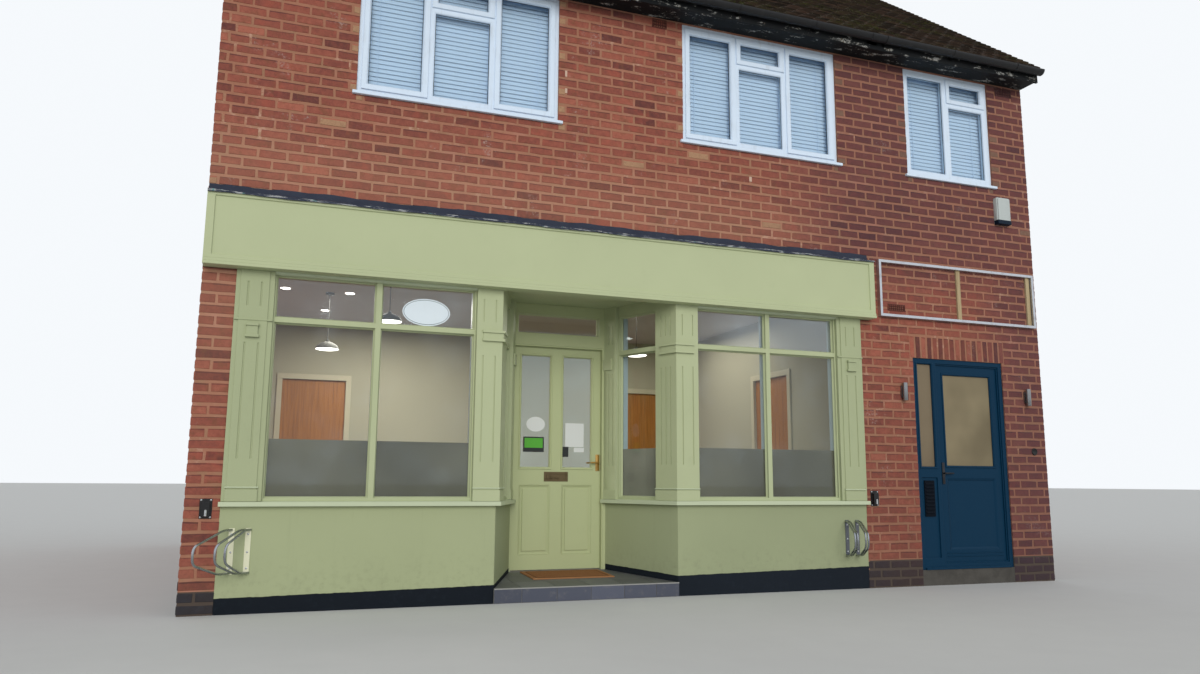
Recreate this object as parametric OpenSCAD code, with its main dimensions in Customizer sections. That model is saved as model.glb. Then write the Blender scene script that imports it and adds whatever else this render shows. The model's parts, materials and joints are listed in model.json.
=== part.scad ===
// A two-storey brick shop unit of a terrace, with a flat above it.
// Millimetres, +Z up. The street front faces -Y, and the origin is on the ground
// under the middle of the building.

/* [Building] */
// Width between the outer faces of the two party walls
unit_w = 8500; // [8200:50:10400]
// Depth between the outer faces of the front and rear walls
unit_d = 8500; // [7000:50:10400]
// Thickness of the front and rear cavity walls
wall_t = 270; // [225:5:330]
// Thickness of each party wall
party_t = 215; // [180:5:260]
// Height of the ground floor surface
ground_floor_z = 165; // [140:5:190]
// Height of the first floor surface
first_floor_z = 3220; // [3100:10:3700]
// Thickness of the first floor
first_floor_t = 250; // [180:5:300]
// Height of the brickwork over the shopfront and over the doors
front_beam_z = 2765; // [2700:5:2840]
// Underside of the loft floor
loft_floor_z = 5580; // [5560:5:6400]
// Thickness of the loft floor
loft_floor_t = 120; // [80:5:200]

/* [Roof] */
// Pitch of both slopes, in degrees
pitch = 40; // [34:1:48]
// Height of the tiles' top face at the eaves edge
eaves_z = 5650; // [5640:10:6800]
// Thickness of tiles, battens and felt
cover_t = 50; // [40:5:80]
// Depth of a rafter
rafter_d = 100; // [75:5:150]
// Width of a rafter
rafter_w = 50; // [38:1:75]
// Number of rafters in a slope
rafter_count = 19; // [12:1:24]
// Soffit depth from the wall face to the fascia board
soffit_d = 235; // [180:5:400]
// Tile overhang past the fascia board
tile_over = 40; // [25:5:60]
// Outer radius of a gutter
gutter_r = 56; // [45:1:75]
// Outer radius of the ridge tiles
ridge_r = 120; // [90:5:150]

/* [Shopfront] */
// Brick strip between the left party line and the shopfront
left_strip_w = 250; // [225:5:330]
// Left bay, from the brick strip to the corner of the recess
left_bay_w = 2148; // [1750:1:2600]
// Right bay, from the corner of the recess to the brick pier
right_bay_w = 2050; // [1700:1:2500]
// Width of the recess at the pavement
recess_w = 1694; // [1450:1:2040]
// Width between the inner corners of the recess, at the door
recess_back_w = 966; // [940:1:1160]
// Depth of the recess
recess_depth = 900; // [700:10:1080]
// Height of the rendered riser under the sill
riser_h = 800; // [650:5:960]
// Thickness of the riser wall
riser_t = 215; // [150:5:240]
// Width of an outer pilaster
outer_pilaster_w = 290; // [220:1:350]
// Width of a corner pilaster on the street face
corner_pilaster_w = 208; // [170:1:260]
// Width of a corner pilaster on the splay
splay_pilaster_w = 250; // [190:1:300]
// Width of the narrow pilaster beside the door
door_pilaster_w = 166; // [140:1:250]
// Underside of the fascia board
fascia_z = 2655; // [2600:5:2700]
// Height of the fascia board
fascia_h = 590; // [450:5:710]
// Projection of the fascia board from the wall
fascia_out = 120; // [90:5:160]
// Length of the fascia board past the shopfront on the right
fascia_past = 120; // [60:5:200]
// Height of the recess ceiling
recess_ceiling_z = 2745; // [2700:5:2760]
// Height of the transom's underside in the shop windows
transom_z = 2252; // [1900:2:2400]

/* [Doors] */
// Width of the shop door
shop_leaf_w = 930; // [762:1:940]
// Height of the shop door
shop_leaf_h = 2155; // [1980:1:2250]
// Thickness of both doors
leaf_t = 44; // [40:1:54]
// Clearance round a moving door
door_gap = 7; // [6:1:10]
// Width of the flat's door frame
flat_frame_w = 1176; // [1100:1:1300]
// Underside of the flat's door frame
flat_frame_z = 153; // [140:1:170]
// Height of the flat's door frame
flat_frame_h = 2146; // [2050:1:2300]
// Brick width between the flat's door frame and the right party line
right_strip_w = 536; // [500:1:640]
// Width of the sidelight in the flat's frame, to the middle post
sidelight_w = 250; // [200:1:300]

/* [Upper windows] */
// Height of the upper window openings above the ground
upper_sill_z = 4290; // [4150:2:4900]
// Height of the upper window openings
upper_window_h = 1220; // [900:5:1230]
// Width of the left three-light window
wide_window_w = 1813; // [1500:1:2170]
// Width of the middle three-light window
middle_window_w = 1783; // [1500:1:2140]
// Width of the two-light window
narrow_window_w = 1161; // [950:1:1390]
// Left party line to the left window
left_window_at = 1090; // [900:5:1300]
// Left party line to the middle window
middle_window_at = 4176; // [3900:2:4300]
// Right party line to the two-light window
right_window_at = 496; // [350:2:700]

/* [Hidden] */
$fn = 48;
eps = 1;
// Clearance where two pieces meet on a slanted face
seat = 0.3;

brick = [0.50, 0.26, 0.21];
sage = [0.60, 0.65, 0.45];
white = [0.90, 0.92, 0.93];
navy = [0.06, 0.18, 0.32];
dark = [0.10, 0.10, 0.11];
steel = [0.62, 0.64, 0.66];
concrete = [0.60, 0.59, 0.56];
timber = [0.62, 0.50, 0.34];
plaster = [0.86, 0.84, 0.79];
glazing = [0.55, 0.65, 0.70, 0.4];

half_w = unit_w / 2;
half_d = unit_d / 2;
front_y = -half_d;
inner_front_y = front_y + wall_t;

// Lines of the roof, at a distance a from the ridge
soffit_board_t = 12;
fascia_t = 25;
tile_t = 20;
ridge_board_t = 32;
wall_to_edge = soffit_d + fascia_t + tile_over;
edge_a = half_d + wall_to_edge;
board_a = half_d + soffit_d + fascia_t;
function tile_top(a) = eaves_z + (edge_a - a) * tan(pitch);
function cover_under(a) = tile_top(a) - cover_t / cos(pitch);
function rafter_under(a) = cover_under(a) - rafter_d / cos(pitch);
soffit_z = rafter_under(half_d) - 190;

// Shopfront lines
shop_x0 = -half_w + left_strip_w;
shop_x1 = shop_x0 + left_bay_w + recess_w + right_bay_w;
recess_x = shop_x0 + left_bay_w + recess_w / 2;
splay_in = (recess_w - recess_back_w) / 2;
splay_l = norm([splay_in, recess_depth]);
splay_a = atan2(recess_depth, splay_in);
flat_x1 = half_w - right_strip_w;
flat_x0 = flat_x1 - flat_frame_w;
door_y = front_y + recess_depth;

// Points of the line round a bay: along the front, then back along the splay.
// w is the bay's width and d the distance outwards from the riser's face.
splay_u = [splay_in, recess_depth] / splay_l;
splay_n = [recess_depth, -splay_in] / splay_l;
function corner_x(w, d) = w + d * (splay_n[0] - splay_u[0] / splay_u[1] * (1 + splay_n[1]));
function back_x(w, d) = w + splay_in + d * splay_l / recess_depth;
function splay_point(w, s, d) = [w, 0] + splay_u * s + splay_n * d;

module box(x0, x1, y0, y1, z0, z1) {
    translate([x0, y0, z0]) cube([x1 - x0, y1 - y0, z1 - z0]);
}

// Band that follows the whole bay line between two offsets
module bay_band(w, start, d_out, d_in, z0, z1) {
    translate([0, 0, z0])
        linear_extrude(z1 - z0)
            polygon([
                [start, -d_out], [corner_x(w, d_out), -d_out], [back_x(w, d_out), recess_depth],
                [back_x(w, d_in), recess_depth], [corner_x(w, d_in), -d_in], [start, -d_in]
            ]);
}

// Band round the corner only, from a before it to b along the splay
module corner_band(w, a, b, d_out, d_in, z0, z1) {
    translate([0, 0, z0])
        linear_extrude(z1 - z0)
            polygon([
                [w - a, -d_out], [corner_x(w, d_out), -d_out], splay_point(w, b, d_out),
                splay_point(w, b, d_in), [corner_x(w, d_in), -d_in], [w - a, -d_in]
            ]);
}

// Strip on the splay's face that starts at the street's face line
module splay_strip(w, start, b, d, z0, z1) {
    translate([0, 0, z0])
        linear_extrude(z1 - z0)
            polygon([splay_point(w, start, d), splay_point(w, b, d), splay_point(w, b, 0), [w, 0]]);
}

// Band along the end of the splay, from s to the door frame
module splay_end_band(w, s, d_out, d_in, z0, z1) {
    translate([0, 0, z0])
        linear_extrude(z1 - z0)
            polygon([
                splay_point(w, s, d_out), [back_x(w, d_out), recess_depth],
                [back_x(w, d_in), recess_depth], splay_point(w, s, d_in)
            ]);
}

// A bay's pieces are drawn once, for the left bay, and turned over for the right
module left_bay() {
    translate([shop_x0, front_y, 0]) children();
}

module right_bay() {
    translate([shop_x1, front_y, 0]) mirror([1, 0, 0]) children();
}

// Places a panel along the splay: x runs along it, and -y faces outwards
module on_splay(w) {
    translate([w, 0, 0]) rotate([0, 0, splay_a]) children();
}

// A frame is a block with its lights cut through; a light is [x0, x1, z0, z1]
module frame_block(x0, x1, z0, z1, d, lights) {
    difference() {
        box(x0, x1, 0, d, z0, z1);
        for (l = lights) box(l[0], l[1], -eps, d + eps, l[2], l[3]);
    }
}

module panes(lights, y, t) {
    for (l = lights) box(l[0], l[1], y, y + t, l[2], l[3]);
}

// Masonry

module ground_slab() {
    color(concrete)
        difference() {
            box(-half_w + party_t, half_w - party_t, front_y + riser_t, half_d - wall_t, 0, ground_floor_z);
            box(-half_w, shop_x0, front_y, inner_front_y, -eps, front_beam_z);
            box(shop_x1, half_w, front_y, inner_front_y, -eps, front_beam_z);
            translate([0, 0, -eps]) riser_footprint();
        }
}

module riser_footprint() {
    t = riser_t + seat;
    grow = t * splay_l / recess_depth;
    translate([recess_x, front_y, 0])
        linear_extrude(riser_h)
            polygon([
                [-recess_w / 2 - riser_t * 2, 0], [recess_w / 2 + riser_t * 2, 0],
                [recess_w / 2 - corner_x(0, -t), riser_t], [recess_back_w / 2 + grow, recess_depth],
                [-recess_back_w / 2 - grow, recess_depth], [-recess_w / 2 + corner_x(0, -t), riser_t]
            ]);
}

module party_walls() {
    a = half_d - wall_t;
    color(brick)
        for (x = [-half_w, half_w - party_t])
            translate([x, 0, -seat])
                rotate([90, 0, 90])
                    linear_extrude(party_t)
                        polygon([
                            [-a, seat], [a, seat], [a, cover_under(a)], [0, cover_under(0)], [-a, cover_under(a)]
                        ]);
}

module front_piers() {
    color(brick)
        for (x = [[-half_w, shop_x0], [shop_x1, flat_x0], [flat_x1, half_w]])
            box(x[0], x[1], front_y, inner_front_y, 0, front_beam_z);
}

flat_frame_top = flat_frame_z + flat_frame_h;

module flat_door_lintel() {
    color(brick) box(flat_x0, flat_x1, front_y, inner_front_y, flat_frame_top, front_beam_z);
}

// Windows of the upper storey: [left edge, width, number of lights]
upper_windows = [
    [-half_w + left_window_at, wide_window_w, 3],
    [-half_w + middle_window_at, middle_window_w, 3],
    [half_w - right_window_at - narrow_window_w, narrow_window_w, 2]
];

// An upper wall: its top is cut to the rafters' underside
module upper_wall(openings) {
    difference() {
        rotate([90, 0, 90])
            translate([0, 0, -half_w])
                linear_extrude(unit_w)
                    polygon([
                        [front_y, front_beam_z], [inner_front_y, front_beam_z],
                        [inner_front_y, rafter_under(-inner_front_y) - seat],
                        [front_y, rafter_under(half_d) - seat]
                    ]);
        for (o = openings)
            box(o[0], o[0] + o[1], front_y - eps, inner_front_y + eps,
                upper_sill_z, upper_sill_z + upper_window_h);
    }
}

module front_wall_upper() {
    color(brick) upper_wall(upper_windows);
}

module rear_wall_upper() {
    color(brick) rotate([0, 0, 180]) upper_wall(upper_windows);
}

// Rear ground floor, seen from the yard: a door and two windows
rear_door_w = 900;
rear_door_h = 2100;
rear_door_x = -half_w + 1500;
rear_sill_z = 1070;
rear_head_z = 2265;
rear_windows = [
    [-half_w + middle_window_at - 900, wide_window_w, 3],
    [half_w - right_window_at - narrow_window_w, narrow_window_w, 2]
];

module rear_wall_lower() {
    color(brick)
        rotate([0, 0, 180])
            difference() {
                box(-half_w, half_w, front_y, inner_front_y, 0, front_beam_z);
                box(rear_door_x, rear_door_x + rear_door_w, front_y - eps, inner_front_y + eps,
                    ground_floor_z, ground_floor_z + rear_door_h);
                for (o = rear_windows)
                    box(o[0], o[0] + o[1], front_y - eps, inner_front_y + eps, rear_sill_z, rear_head_z);
            }
}

module floor_plate(z, t) {
    box(-half_w + party_t, half_w - party_t, inner_front_y, -inner_front_y, z, z + t);
}

module first_floor() {
    color(plaster) floor_plate(first_floor_z - first_floor_t, first_floor_t);
}

module loft_floor() {
    color(plaster) floor_plate(loft_floor_z, loft_floor_t);
}

// Inner walls and doors, seen through the shop windows
back_wall_y = 0;
hall_wall_x = shop_x1 + 60;
inner_wall_t = 100;
inner_leaf_w = 762;
inner_leaf_h = 2085;
lining_t = 28;
architrave_w = 65;
back_doors = [-half_w + 709, -half_w + 5250];
hall_door_y = front_y + 2222;

// Places an inner door: x runs along the wall and -y faces the shop
module at_inner_doors() {
    for (x = back_doors) translate([x, back_wall_y, ground_floor_z]) children();
    translate([hall_wall_x, hall_door_y, ground_floor_z]) rotate([0, 0, -90]) children();
}

module inner_walls() {
    ceiling_z = first_floor_z - first_floor_t;
    color(plaster)
        difference() {
            union() {
                box(-half_w + party_t, hall_wall_x - seat, back_wall_y, back_wall_y + inner_wall_t,
                    ground_floor_z, ceiling_z);
                box(hall_wall_x, hall_wall_x + inner_wall_t, inner_front_y, back_wall_y + inner_wall_t,
                    ground_floor_z, ceiling_z);
            }
            at_inner_doors()
                box(-lining_t, inner_leaf_w + lining_t, -eps, inner_wall_t + eps, -eps, inner_leaf_h + lining_t);
        }
}

module inner_door_frames() {
    out = architrave_w;
    color(white)
        at_inner_doors()
            difference() {
                union() {
                    box(-lining_t, inner_leaf_w + lining_t, 0, inner_wall_t, 0, inner_leaf_h + lining_t);
                    box(-out, inner_leaf_w + out, -18, 0, 0, inner_leaf_h + out);
                }
                box(0, inner_leaf_w, -18 - eps, inner_wall_t + eps, -eps, inner_leaf_h);
            }
}

module inner_doors() {
    color([0.55, 0.30, 0.12])
        at_inner_doors() box(0, inner_leaf_w, 20, 20 + leaf_t, 0, inner_leaf_h);
}

// Roof

module roof_slope() {
    rotate([90, 0, 90])
        translate([0, 0, -half_w])
            linear_extrude(unit_w)
                polygon([
                    [0, tile_top(0)], [-edge_a, tile_top(edge_a)], [-edge_a, tile_top(edge_a) - tile_t],
                    [-board_a, cover_under(board_a)], [0, cover_under(0)]
                ]);
}

// Rafters hang just under the covering, from the ridge board to the eaves
module rafter_pair() {
    foot_a = half_d + soffit_d;
    foot_z = soffit_z + soffit_board_t + seat;
    level_a = half_d - (foot_z - rafter_under(half_d)) / tan(pitch);
    head_a = ridge_board_t / 2 + seat;
    for (side = [0, 1])
        mirror([side, 0, 0])
            polygon([
                [-head_a, cover_under(head_a) - seat], [seat - foot_a, cover_under(foot_a) - seat],
                [seat - foot_a, foot_z], [-level_a, foot_z], [-head_a, rafter_under(head_a)]
            ]);
}

module rafters() {
    rafter_gap = (unit_w - 2 * party_t - 2 * seat - rafter_w) / (rafter_count - 1);
    board_z = cover_under(ridge_board_t / 2) - seat;
    board_h = 1.5 * rafter_d;
    color(timber) {
        for (i = [0 : rafter_count - 1])
            rotate([90, 0, 90])
                translate([0, 0, -half_w + party_t + seat + i * rafter_gap])
                    linear_extrude(rafter_w) rafter_pair();
        box(-half_w + party_t + seat, half_w - party_t - seat, -ridge_board_t / 2, ridge_board_t / 2,
            board_z - board_h, board_z);
    }
}

module roof_front() {
    color([0.20, 0.18, 0.13]) roof_slope();
}

module roof_rear() {
    color([0.20, 0.18, 0.13]) mirror([0, 1, 0]) roof_slope();
}

module ridge_tiles() {
    ridge_t = 18;
    ridge_tile_l = 450;
    collar_l = 40;
    seat_z = tile_top(ridge_r * cos(pitch) * 0.9);
    tiles = floor(unit_w / ridge_tile_l);
    step = unit_w / tiles;
    color([0.22, 0.17, 0.14])
        difference() {
            translate([-half_w, 0, seat_z - 20]) rotate([0, 90, 0]) {
                cylinder(h = unit_w, r = ridge_r);
                for (i = [1 : tiles - 1])
                    translate([0, 0, i * step - collar_l / 2]) cylinder(h = collar_l, r = ridge_r + 8);
            }
            translate([-half_w - eps, 0, seat_z - 20]) rotate([0, 90, 0])
                cylinder(h = unit_w + 2 * eps, r = ridge_r - ridge_t);
            for (side = [0, 1])
                mirror([0, side, 0])
                    rotate([90, 0, 90])
                        translate([0, 0, -half_w - eps])
                            linear_extrude(unit_w + 2 * eps)
                                polygon([
                                    [0, tile_top(0)], [-2 * ridge_r, tile_top(2 * ridge_r)],
                                    [-2 * ridge_r, tile_top(0) - 4 * ridge_r], [0, tile_top(0) - 4 * ridge_r]
                                ]);
        }
}

module eaves_side() {
    fascia_y = front_y - soffit_d;
    fascia_top = cover_under(board_a) - seat;
    box(-half_w, half_w, fascia_y, front_y, soffit_z, soffit_z + soffit_board_t);
    box(-half_w, half_w, fascia_y - fascia_t, fascia_y - seat, soffit_z - 20, fascia_top);
}

module eaves_boards() {
    color(dark) {
        eaves_side();
        rotate([0, 0, 180]) eaves_side();
    }
}

gutter_y = front_y - soffit_d - fascia_t - gutter_r;
gutter_z = cover_under(board_a) - 5;

module gutter() {
    gutter_t = 5;
    difference() {
        translate([-half_w, gutter_y, gutter_z]) rotate([0, 90, 0]) cylinder(h = unit_w, r = gutter_r);
        translate([-half_w - eps, gutter_y, gutter_z]) rotate([0, 90, 0])
            cylinder(h = unit_w + 2 * eps, r = gutter_r - gutter_t);
        box(-half_w - eps, half_w + eps, gutter_y - gutter_r - eps, gutter_y + gutter_r + eps,
            gutter_z, gutter_z + gutter_r + eps);
    }
}

module gutters() {
    color(dark) {
        gutter();
        rotate([0, 0, 180]) gutter();
    }
}

// Rear downpipe: out of the gutter, back to the wall and down
pipe_r = 34;
pipe_x = -half_w + 250;
pipe_wall_gap = 12;

module pipe_run(a, b) {
    v = b - a;
    translate(a)
        rotate([0, acos(v[2] / norm(v)), atan2(v[1], v[0])])
            cylinder(h = norm(v), r = pipe_r);
}

module downpipe() {
    gutter_yy = -gutter_y;
    wall_yy = half_d + pipe_wall_gap + pipe_r;
    outlet_z = gutter_z - gutter_r - seat;
    top = [pipe_x, gutter_yy, outlet_z - 90];
    low = [pipe_x, wall_yy, outlet_z - 330];
    color(dark) {
        pipe_run([pipe_x, gutter_yy, outlet_z], top);
        translate(top) sphere(r = pipe_r);
        pipe_run(top, low);
        translate(low) sphere(r = pipe_r);
        pipe_run(low, [pipe_x, wall_yy, 90]);
        for (z = [600, 2400, 4200])
            box(pipe_x - 50, pipe_x + 50, half_d, half_d + 20, z, z + 30);
        for (z = [600, 2400, 4200])
            translate([pipe_x, wall_yy, z]) cylinder(h = 30, r = pipe_r + 5);
    }
}

// Shopfront

module stall_risers() {
    color(sage) {
        left_bay() bay_band(left_bay_w, 0, 0, -riser_t, 0, riser_h);
        right_bay() bay_band(right_bay_w, 0, 0, -riser_t, 0, riser_h);
    }
}

sill_t = 38;
sill_out = 50;
frame_z0 = riser_h + sill_t;
frame_set = 15;
frame_d = 70;

module sill(w) {
    bay_band(w, -15, sill_out, 0, riser_h + 1, frame_z0 - 2);
    bay_band(w, 0, 0, -frame_set - frame_d, riser_h, frame_z0);
}

module shop_sills() {
    color(sage) {
        left_bay() sill(left_bay_w);
        right_bay() sill(right_bay_w);
    }
}

// Pilaster levels, above the ground
foot_top_z = frame_z0 + 92;
capital_z0 = 2195;
capital_z1 = 2290;
bracket_z0 = 2112;
bracket_z1 = 2222;
pilaster_out = 28;
flute_w = 12;
flute_d = 8;
flutes_low = [1165, 2070];
flutes_high = [2365, 2560];
pilaster_back = frame_set + frame_d;

module outer_pilaster() {
    w = outer_pilaster_w;
    panel_x0 = 34;
    panel_x1 = w - 40;
    mid = (panel_x0 + panel_x1) / 2;
    difference() {
        union() {
            box(0, w, -pilaster_out + 10, 0, frame_z0, fascia_z);
            box(0, w, 0, pilaster_back, frame_z0, front_beam_z);
            box(panel_x0, panel_x1, -pilaster_out, 0, frame_z0, fascia_z);
        }
        for (x = [mid - 55, mid + 45])
            for (z = [flutes_low, flutes_high])
                box(x, x + flute_w, -pilaster_out - eps, -pilaster_out + flute_d, z[0], z[1]);
    }
    box(panel_x0 - 8, panel_x1 + 8, -pilaster_out - 8, 0, frame_z0, foot_top_z);
    box(0, w, -pilaster_out - 6, 0, transom_z - 4, transom_z + 8);
    translate([mid - 52, -pilaster_out, bracket_z0]) {
        box(0, 104, -30, 0, 0, 22);
        box(10, 94, -22, 0, 22, 90);
        box(4, 100, -34, 0, 90, 110);
    }
}

module outer_pilasters() {
    color(sage) {
        left_bay() outer_pilaster();
        right_bay() outer_pilaster();
    }
}

module corner_pilaster(w) {
    a = corner_pilaster_w;
    b = splay_pilaster_w;
    difference() {
        union() {
            corner_band(w, a, b, 0, -pilaster_back, frame_z0, recess_ceiling_z);
            corner_band(w, a, b, pilaster_out, 0, frame_z0, fascia_z);
            splay_strip(w, pilaster_out * splay_in / recess_depth, b, pilaster_out, frame_z0, recess_ceiling_z);
        }
        for (x = [w - 156, w - 50])
            for (z = [flutes_low, flutes_high])
                box(x, x + flute_w, -pilaster_out - eps, -pilaster_out + flute_d, z[0], z[1]);
        on_splay(w)
            for (x = [50, 110, 170])
                for (z = [flutes_low, flutes_high])
                    box(x, x + flute_w, -pilaster_out - eps, -pilaster_out + flute_d, z[0], z[1]);
    }
    corner_band(w, a, b, pilaster_out + 8, 0, frame_z0, foot_top_z);
    corner_band(w, 150, 165, pilaster_out + 10, 0, capital_z0, capital_z1);
    corner_band(w, 158, 173, pilaster_out + 24, 0, capital_z0, capital_z0 + 22);
    corner_band(w, 158, 173, pilaster_out + 24, 0, capital_z1 - 22, capital_z1);
}

module corner_pilasters() {
    color(sage) {
        left_bay() corner_pilaster(left_bay_w);
        right_bay() corner_pilaster(right_bay_w);
    }
}

door_pilaster_s = splay_l - door_pilaster_w;

module door_pilaster(w) {
    out = 18;
    difference() {
        splay_end_band(w, door_pilaster_s, out, -pilaster_back, frame_z0, recess_ceiling_z);
        on_splay(w)
            for (x = [door_pilaster_s + 40, door_pilaster_s + 100])
                for (z = [flutes_low, flutes_high])
                    box(x, x + flute_w, -out - eps, -out + flute_d, z[0], z[1]);
    }
    splay_end_band(w, door_pilaster_s, out + 6, 0, frame_z0, foot_top_z);
    splay_end_band(w, door_pilaster_s + 60, out + 14, 0, bracket_z0, bracket_z1);
}

module door_pilasters() {
    color(sage) {
        left_bay() door_pilaster(left_bay_w);
        right_bay() door_pilaster(right_bay_w);
    }
}

shop_stile = 14;
shop_mullion = 46;
transom_t = 42;
light_z0 = frame_z0 + 26;
light_z1 = 2635;
light_rows = [[light_z0, transom_z], [transom_z + transom_t, light_z1]];

function bay_lights(w) = [
    for (x = [[shop_stile, (w - shop_mullion) / 2], [(w + shop_mullion) / 2, w - shop_stile]])
        for (z = light_rows) [x[0], x[1], z[0], z[1]]
];
function splay_lights(w) = [for (z = light_rows) [shop_stile, w - shop_stile, z[0], z[1]]];

left_window_w = left_bay_w - outer_pilaster_w - corner_pilaster_w;
right_window_w = right_bay_w - outer_pilaster_w - corner_pilaster_w;
splay_window_w = door_pilaster_s - splay_pilaster_w;

module at_bay_window() {
    translate([outer_pilaster_w, frame_set, 0]) children();
}

module at_splay_window(w) {
    on_splay(w) translate([splay_pilaster_w, frame_set, 0]) children();
}

module bay_window(w) {
    frame_block(0, w, frame_z0, front_beam_z, frame_d, bay_lights(w));
}

module shop_windows() {
    color(sage) {
        left_bay() at_bay_window() bay_window(left_window_w);
        right_bay() at_bay_window() bay_window(right_window_w);
    }
}

module splay_window(w) {
    frame_block(seat, w - seat, frame_z0, recess_ceiling_z, frame_d, splay_lights(w));
}

module splay_windows() {
    color(sage) {
        left_bay() at_splay_window(left_bay_w) splay_window(splay_window_w);
        right_bay() at_splay_window(right_bay_w) splay_window(splay_window_w);
    }
}

pane_t = 10;
pane_y = 42;

module shop_glass() {
    color(glazing) {
        left_bay() {
            at_bay_window() panes(bay_lights(left_window_w), pane_y, pane_t);
            at_splay_window(left_bay_w) panes(splay_lights(splay_window_w), pane_y, pane_t);
        }
        right_bay() {
            at_bay_window() panes(bay_lights(right_window_w), pane_y, pane_t);
            at_splay_window(right_bay_w) panes(splay_lights(splay_window_w), pane_y, pane_t);
        }
        at_shop_frame() panes([fanlight], pane_y, pane_t);
    }
}

module shop_fascia() {
    x0 = -half_w;
    x1 = shop_x1 + fascia_past;
    face_y = front_y - fascia_out;
    border = 60;
    top = fascia_z + fascia_h;
    color(sage)
        union() {
            box(x0, x1, face_y + 14, front_y, fascia_z + 20, top);
            difference() {
                box(x0, x1, face_y, face_y + 20, fascia_z + 20, top);
                box(x0 + border, x1 - border, face_y - eps, face_y + 14, fascia_z + 80, top - 34);
            }
            box(x0, x1, face_y - 12, front_y, fascia_z, fascia_z + 26);
            box(x0, x1, face_y - 6, front_y, fascia_z + 26, fascia_z + 52);
        }
}

module fascia_flashing() {
    x0 = -half_w;
    x1 = shop_x1 + fascia_past;
    z = fascia_z + fascia_h;
    out = fascia_out + 16;
    color(dark)
        rotate([90, 0, 90])
            translate([0, 0, x0])
                linear_extrude(x1 - x0)
                    polygon([
                        [front_y, z], [front_y - out, z], [front_y - out, z + 5],
                        [front_y - 10, z + 45], [front_y - 4, z + 100], [front_y, z + 100]
                    ]);
}

module recess_ceiling() {
    t = front_beam_z - recess_ceiling_z;
    side_t = 22;
    outer_x = recess_w / 2 + corner_pilaster_w;
    corner = recess_w / 2 - corner_x(0, -pilaster_back);
    back = recess_depth + door_frame_d;
    lean = splay_in / recess_depth;
    back_half = recess_back_w / 2 + pilaster_back * splay_l / recess_depth - door_frame_d * lean;
    wall_half = back_half + (back - wall_t) * lean;
    shell_h = first_floor_z - first_floor_t - front_beam_z;
    color(sage)
        translate([recess_x, front_y, 0]) {
            translate([0, 0, recess_ceiling_z])
                linear_extrude(t)
                    polygon([
                        [-outer_x, 0], [outer_x, 0], [outer_x, pilaster_back], [corner, pilaster_back],
                        [back_half, back], [-back_half, back], [-corner, pilaster_back], [-outer_x, pilaster_back]
                    ]);
            translate([0, 0, front_beam_z])
                linear_extrude(shell_h)
                    difference() {
                        polygon([[-wall_half, wall_t], [wall_half, wall_t], [back_half, back], [-back_half, back]]);
                        polygon([
                            [side_t - wall_half, wall_t - eps], [wall_half - side_t, wall_t - eps],
                            [back_half - side_t, back - side_t], [side_t - back_half, back - side_t]
                        ]);
                    }
        }
}

step_front_z = 118;
step_back_z = 160;
step_out = 12;

module entrance_step() {
    color([0.35, 0.35, 0.37])
        translate([recess_x, front_y, 0])
            intersection() {
                linear_extrude(ground_floor_z)
                    polygon([
                        [-recess_w / 2, -step_out], [recess_w / 2, -step_out], [recess_w / 2, 0],
                        [recess_back_w / 2, recess_depth], [-recess_back_w / 2, recess_depth], [-recess_w / 2, 0]
                    ]);
                rotate([90, 0, 90])
                    translate([0, 0, -recess_w])
                        linear_extrude(2 * recess_w)
                            polygon([
                                [-step_out, 0], [recess_depth, 0],
                                [recess_depth, step_back_z], [-step_out, step_front_z]
                            ]);
            }
}

mat_w = 780;
mat_y0 = 400;
mat_d = 450;
mat_t = 14;
step_slope = atan2(step_back_z - step_front_z, recess_depth + step_out);

module door_mat() {
    rise = step_front_z + (mat_y0 + step_out) * tan(step_slope) + seat;
    color([0.45, 0.28, 0.15])
        translate([recess_x - mat_w / 2, front_y + mat_y0, rise])
            rotate([step_slope, 0, 0]) cube([mat_w, mat_d, mat_t]);
}

// Shop door

// The frame laps behind both splays, and its jambs take up what the leaf leaves
frame_lap = 49;
door_frame_half = recess_back_w / 2 + frame_lap;
jamb_w = door_frame_half - shop_leaf_w / 2 - door_gap;
door_x = recess_x - 14;
door_frame_d = 100;
threshold_z = ground_floor_z;
leaf_z = ground_floor_z + door_gap + 1;
leaf_y = door_frame_d - leaf_t;
stop_w = 14;
fanlight_z0 = 2452;
fanlight_z1 = 2642;
leaf_head_z = leaf_z + shop_leaf_h + door_gap;
frame_w = 2 * door_frame_half;
fanlight = [jamb_w + 50, frame_w - jamb_w - 50, fanlight_z0, fanlight_z1];

module at_shop_frame() {
    translate([door_x - door_frame_half, door_y, 0]) children();
}

module shop_door_frame() {
    color(sage)
        at_shop_frame() {
            difference() {
                box(0, frame_w, 0, door_frame_d, threshold_z, recess_ceiling_z);
                box(jamb_w, frame_w - jamb_w, -eps, door_frame_d + eps, threshold_z - eps, leaf_head_z);
                box(fanlight[0], fanlight[1], -eps, door_frame_d + eps, fanlight_z0, fanlight_z1);
            }
            difference() {
                box(jamb_w - eps, frame_w - jamb_w + eps, 4, leaf_y - door_gap, threshold_z, leaf_head_z + eps);
                box(jamb_w + stop_w, frame_w - jamb_w - stop_w, 0, leaf_y, threshold_z - eps, leaf_head_z - stop_w);
            }
        }
}

leaf_stile = 92;
leaf_muntin = 116;
mid_rail = [800, 960];
bottom_rail = 138;
top_rail = 84;
leaf_lights = [
    [leaf_stile, (shop_leaf_w - leaf_muntin) / 2, mid_rail[1], shop_leaf_h - top_rail],
    [(shop_leaf_w + leaf_muntin) / 2, shop_leaf_w - leaf_stile, mid_rail[1], shop_leaf_h - top_rail]
];
leaf_panels = [for (l = leaf_lights) [l[0], l[1], bottom_rail, mid_rail[0]]];

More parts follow.
